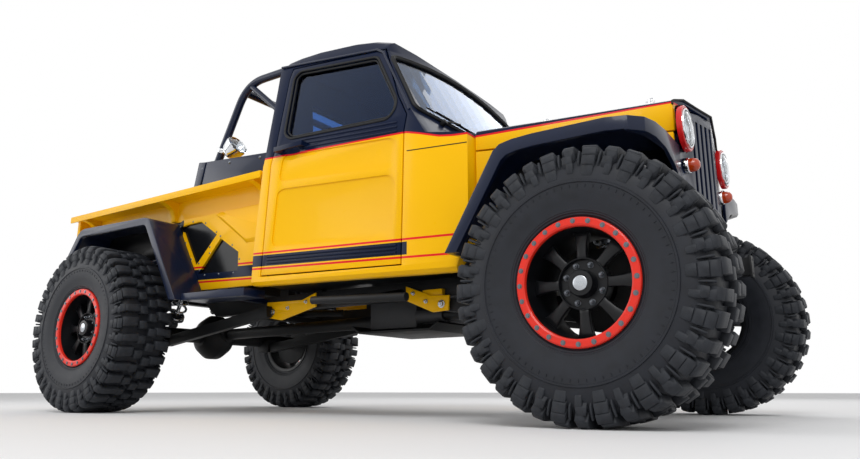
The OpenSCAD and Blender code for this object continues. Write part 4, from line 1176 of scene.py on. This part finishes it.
def cushion(outline, width, y, crown, channels):
    """A stuffed pad: an (x, z) outline swept across the cabin, crowned, with sewn channels and
    pulled-in corners."""
    ring = [(x, z) for x, _, z in rounded([(x, 0, z) for x, z in outline], 0.040, 5)]
    cx = sum(x for x, _ in ring) / len(ring)
    cz = sum(z for _, z in ring) / len(ring)
    bm = bmesh.new()
    rows = []
    stations = 36
    for k in range(stations + 1):
        t = k / stations * 2 - 1
        edge = max(0.0, (abs(t) - 0.80) / 0.20)
        pull = 1 - 0.16 * edge ** 2.2
        seam = max((channel_depth(t - c) for c in channels), default=0.0)
        grow = crown * (1 - abs(t) ** 4) - 0.010 * seam
        row = []
        for x, z in ring:
            out = Vector((x - cx, z - cz))
            size = out.length
            scaled = out * pull + out.normalized() * grow * min(1.0, size / 0.05)
            row.append(bm.verts.new((cx + scaled.x, y + t * width / 2, cz + scaled.y)))
        rows.append(row)
    bridge(bm, rows)
    bm.faces.new(rows[0][::-1])
    bm.faces.new(rows[-1])
    return bm


SEAT_PARTS = (("base", [(0.062, 0.912), (0.515, 0.935), (0.535, 1.008), (0.498, 1.032), (0.112, 1.006)],
               0.470,
               0.004, (-0.62, 0.62, -0.2, 0.2)),
              ("back", [(0.034, 0.918), (0.052, 0.915), (0.098, 1.012), (0.016, 1.472), (-0.066, 1.490),
                        (-0.102, 1.464)], 0.456, 0.004, (-0.60, 0.60, -0.2, 0.2)),
              ("headrest", [(-0.058, 1.506), (0.010, 1.496), (-0.012, 1.634), (-0.050, 1.658),
                            (-0.086, 1.644)],
               0.250, 0.003, ()))
for hand, side in SIDES.items():
    for part, outline, width, crown, channels in SEAT_PARTS:
        bm = cushion(outline, width, SEAT_Y * side, crown, channels)
        seat = piece(f"seat_{part}_{hand}", bm, "fabric", "root", angle=50,
                     replaces=("seats",))
    bm = bmesh.new()
    for dy in (-0.070, 0.070):
        rod(bm, (-0.044, SEAT_Y * side + dy, 1.462), (-0.036, SEAT_Y * side + dy, 1.530), 0.006)
    piece(f"headrest_posts_{hand}", bm, "chrome", "root")
    bm = bmesh.new()
    box(bm, (0.080, SEAT_Y * side - 0.190, 0.738), (0.460, SEAT_Y * side + 0.190, 0.904))
    box(bm, (0.060, SEAT_Y * side - 0.215, 0.885), (0.500, SEAT_Y * side + 0.215, 0.915))
    piece(f"seat_box_{hand}", bm, "plastic", "root", bevel=0.006)
    # piping round the seat back's front edge
    line = [(0.100, 1.030), (0.018, 1.474), (0.018, 1.474), (0.100, 1.030)]
    pipe = [Vector((x + 0.004, SEAT_Y * side + dy, z)) for (x, z), dy in
            zip(line, (-0.205, -0.205, 0.205, 0.205))]
    tube(f"seat_piping_{hand}", [tuple(p) for p in rounded(pipe, 0.05)], 0.0035, "piping", "root",
         cyclic=True)


refined("dashboard", "plastic", "root", bevel=0.012)
bm = bmesh.new()
for dy in (-0.085, 0.0, 0.085):
    place = Matrix.Translation((0.838, SEAT_Y + dy, 1.266)) @ Matrix.Rotation(radians(-62), 4, "Y")
    dial = bmesh.new()
    lathe(dial, [(0.030, 0.0), (0.040, 0.0), (0.040, 0.008), (0.036, 0.014), (0.032, 0.012), (0.030, 0.004)],
          (0, 0, 0), axis="Z", steps=40)
    dial.transform(place)
    absorb(bm, dial)
piece("dial_bezels", bm, "chrome", "root", angle=40)

# steering wheel: padded rim, three pressed spokes with holes, and a horn button
STEER = Matrix.Translation((0.655, SEAT_Y, 1.339)) @ Matrix.Rotation(radians(-62), 4, "Y")
bm = bmesh.new()
section = [(0.178 + 0.014 * cos(2 * pi * k / 20), 0.022 + 0.014 * sin(2 * pi * k / 20)) for k in range(20)]
lathe(bm, section, (0, 0, 0), axis="Z", steps=96)
bm.transform(STEER)
piece("steering_rim", bm, "plastic", "steering_wheel", angle=60,
      replaces=("steering_wheel",))
bm = bmesh.new()
for k in range(3):
    spin = Matrix.Rotation(pi / 2 + k * 2 * pi / 3, 4, "Z")
    arm = bmesh.new()
    box(arm, (0.020, -0.014, 0.014), (0.168, 0.014, 0.020))
    hole = bmesh.new()
    for r, size in ((0.062, 0.0085), (0.092, 0.0075), (0.120, 0.0065)):
        drum(hole, 20, size, 0.03, Matrix.Translation((r, 0, 0.017)))
    arm = carved(arm, hole)
    hole.free()
    arm.transform(STEER @ spin)
    absorb(bm, arm)
piece("steering_spokes", bm, "steel", "steering_wheel", bevel=0.0008)
bm = lathe_solid([(0.0, 0.0), (0.030, 0.0), (0.032, 0.004), (0.032, 0.020), (0.028, 0.028), (0.018, 0.031),
                  (0.017, 0.029), (0.0, 0.030)], (0, 0, 0), "Z", 48)
bm.transform(STEER)
piece("horn_button", bm, "plastic", "steering_wheel", angle=30)


# ---------------------------------------------------------------- chassis

# link bolts with their washers, and dome screws where the brackets meet the rail blocks
bm = bmesh.new()
for side in (1, -1):
    for x, z, size in ((-0.430, 0.590, 0.015), (0.785, 0.556, 0.015), (-0.300, 0.606, 0.008),
                       (-0.155, 0.632, 0.008),
                       (0.610, 0.622, 0.008), (0.690, 0.575, 0.008)):
        turn = Matrix.Translation((x, side * 0.4835, z)) @ Matrix.Rotation(pi / 2, 4, "X")
        drum(bm, 24, size * 1.35, 0.005, turn)
        drum(bm, 6, size, 0.018, Matrix.Translation((0, side * 0.004, 0)) @ turn, top=size * 0.94)
piece("link_bolts", bm, "satin", "root", bevel=0.0008)

for node in ("frame", "skid_plate", "front_axle", "rear_axle", "suspension_links", "rock_sliders",
             "driveshafts"):
    refined(node, "chassis", "root", bevel=0.002)
for node in ("knuckle_left", "knuckle_right", "tie_rod"):
    refined(node, "chassis", node, bevel=0.002)
for node in ("engine_block", "gearbox"):
    refined(node, "cast", "root", bevel=0.006)

# tinted glass, on the CAD's own panes
for node in ("windshield", "rear_window", "door_glass_left", "door_glass_right"):
    for held in NODES[node].material_slots:
        held.material = M["glass"]


# ---------------------------------------------------------------- stage

def stage():
    bm = bmesh.new()
    bmesh.ops.create_grid(bm, x_segments=1, y_segments=1, size=40)
    mesh = bpy.data.meshes.new("floor")
    bm.to_mesh(mesh)
    bm.free()
    floor = bpy.data.objects.new("floor", mesh)
    bpy.context.scene.collection.objects.link(floor)
    mat, tree, surface = new_material("pale_studio_floor", Roughness=0.8)
    surface.inputs["Base Color"].default_value = linear("#EDEDEE")
    mesh.materials.append(mat)

    world = bpy.data.worlds.new("studio")
    bpy.context.scene.world = world
    world.use_nodes = True
    tree = world.node_tree
    ground = tree.nodes["Background"]
    path = add(tree, "ShaderNodeLightPath")
    seen = maths(tree, "MAXIMUM", path.outputs["Is Camera Ray"],
                 maths(tree, "MAXIMUM", path.outputs["Is Glossy Ray"], path.outputs["Is Transmission Ray"]))
    level = add(tree, "ShaderNodeMapRange", {"Value": seen, 3: 0.52, 4: 1.0})
    tree.links.new(level.outputs[0], ground.inputs["Strength"])
    ground.inputs["Color"].default_value = (1, 1, 1, 1)

    for name, place, aim, size, power in (("key", (3.5, -6.0, 6.5), (0, 0, 1.0), 4.0, 330),
                                          ("fill", (-5.5, -4.0, 3.0), (0, 0, 1.0), 4.0, 90),
                                          ("back", (0.0, 7.0, 6.0), (0, 0, 1.0), 5.0, 150)):
        light = bpy.data.lights.new(name, "AREA")
        light.size, light.energy = size, power
        obj = bpy.data.objects.new(name, light)
        obj.location = place
        obj.rotation_euler = (Vector(aim) - Vector(place)).to_track_quat("-Z", "Y").to_euler()
        bpy.context.scene.collection.objects.link(obj)


def camera():
    """Low, from the right front, as a person crouching by the front wheel sees it."""
    cam = bpy.data.cameras.new("camera")
    cam.sensor_width, cam.lens = 36.0, 29.249
    obj = bpy.data.objects.new("camera", cam)
    obj.location = (2.720, -3.4037, 0.1312)
    obj.rotation_euler = (pi / 2 + 0.2267, 0.0, 0.6015)
    bpy.context.scene.collection.objects.link(obj)
    bpy.context.scene.camera = obj


stage()
camera()
bpy.context.scene.view_settings.view_transform = "Standard"
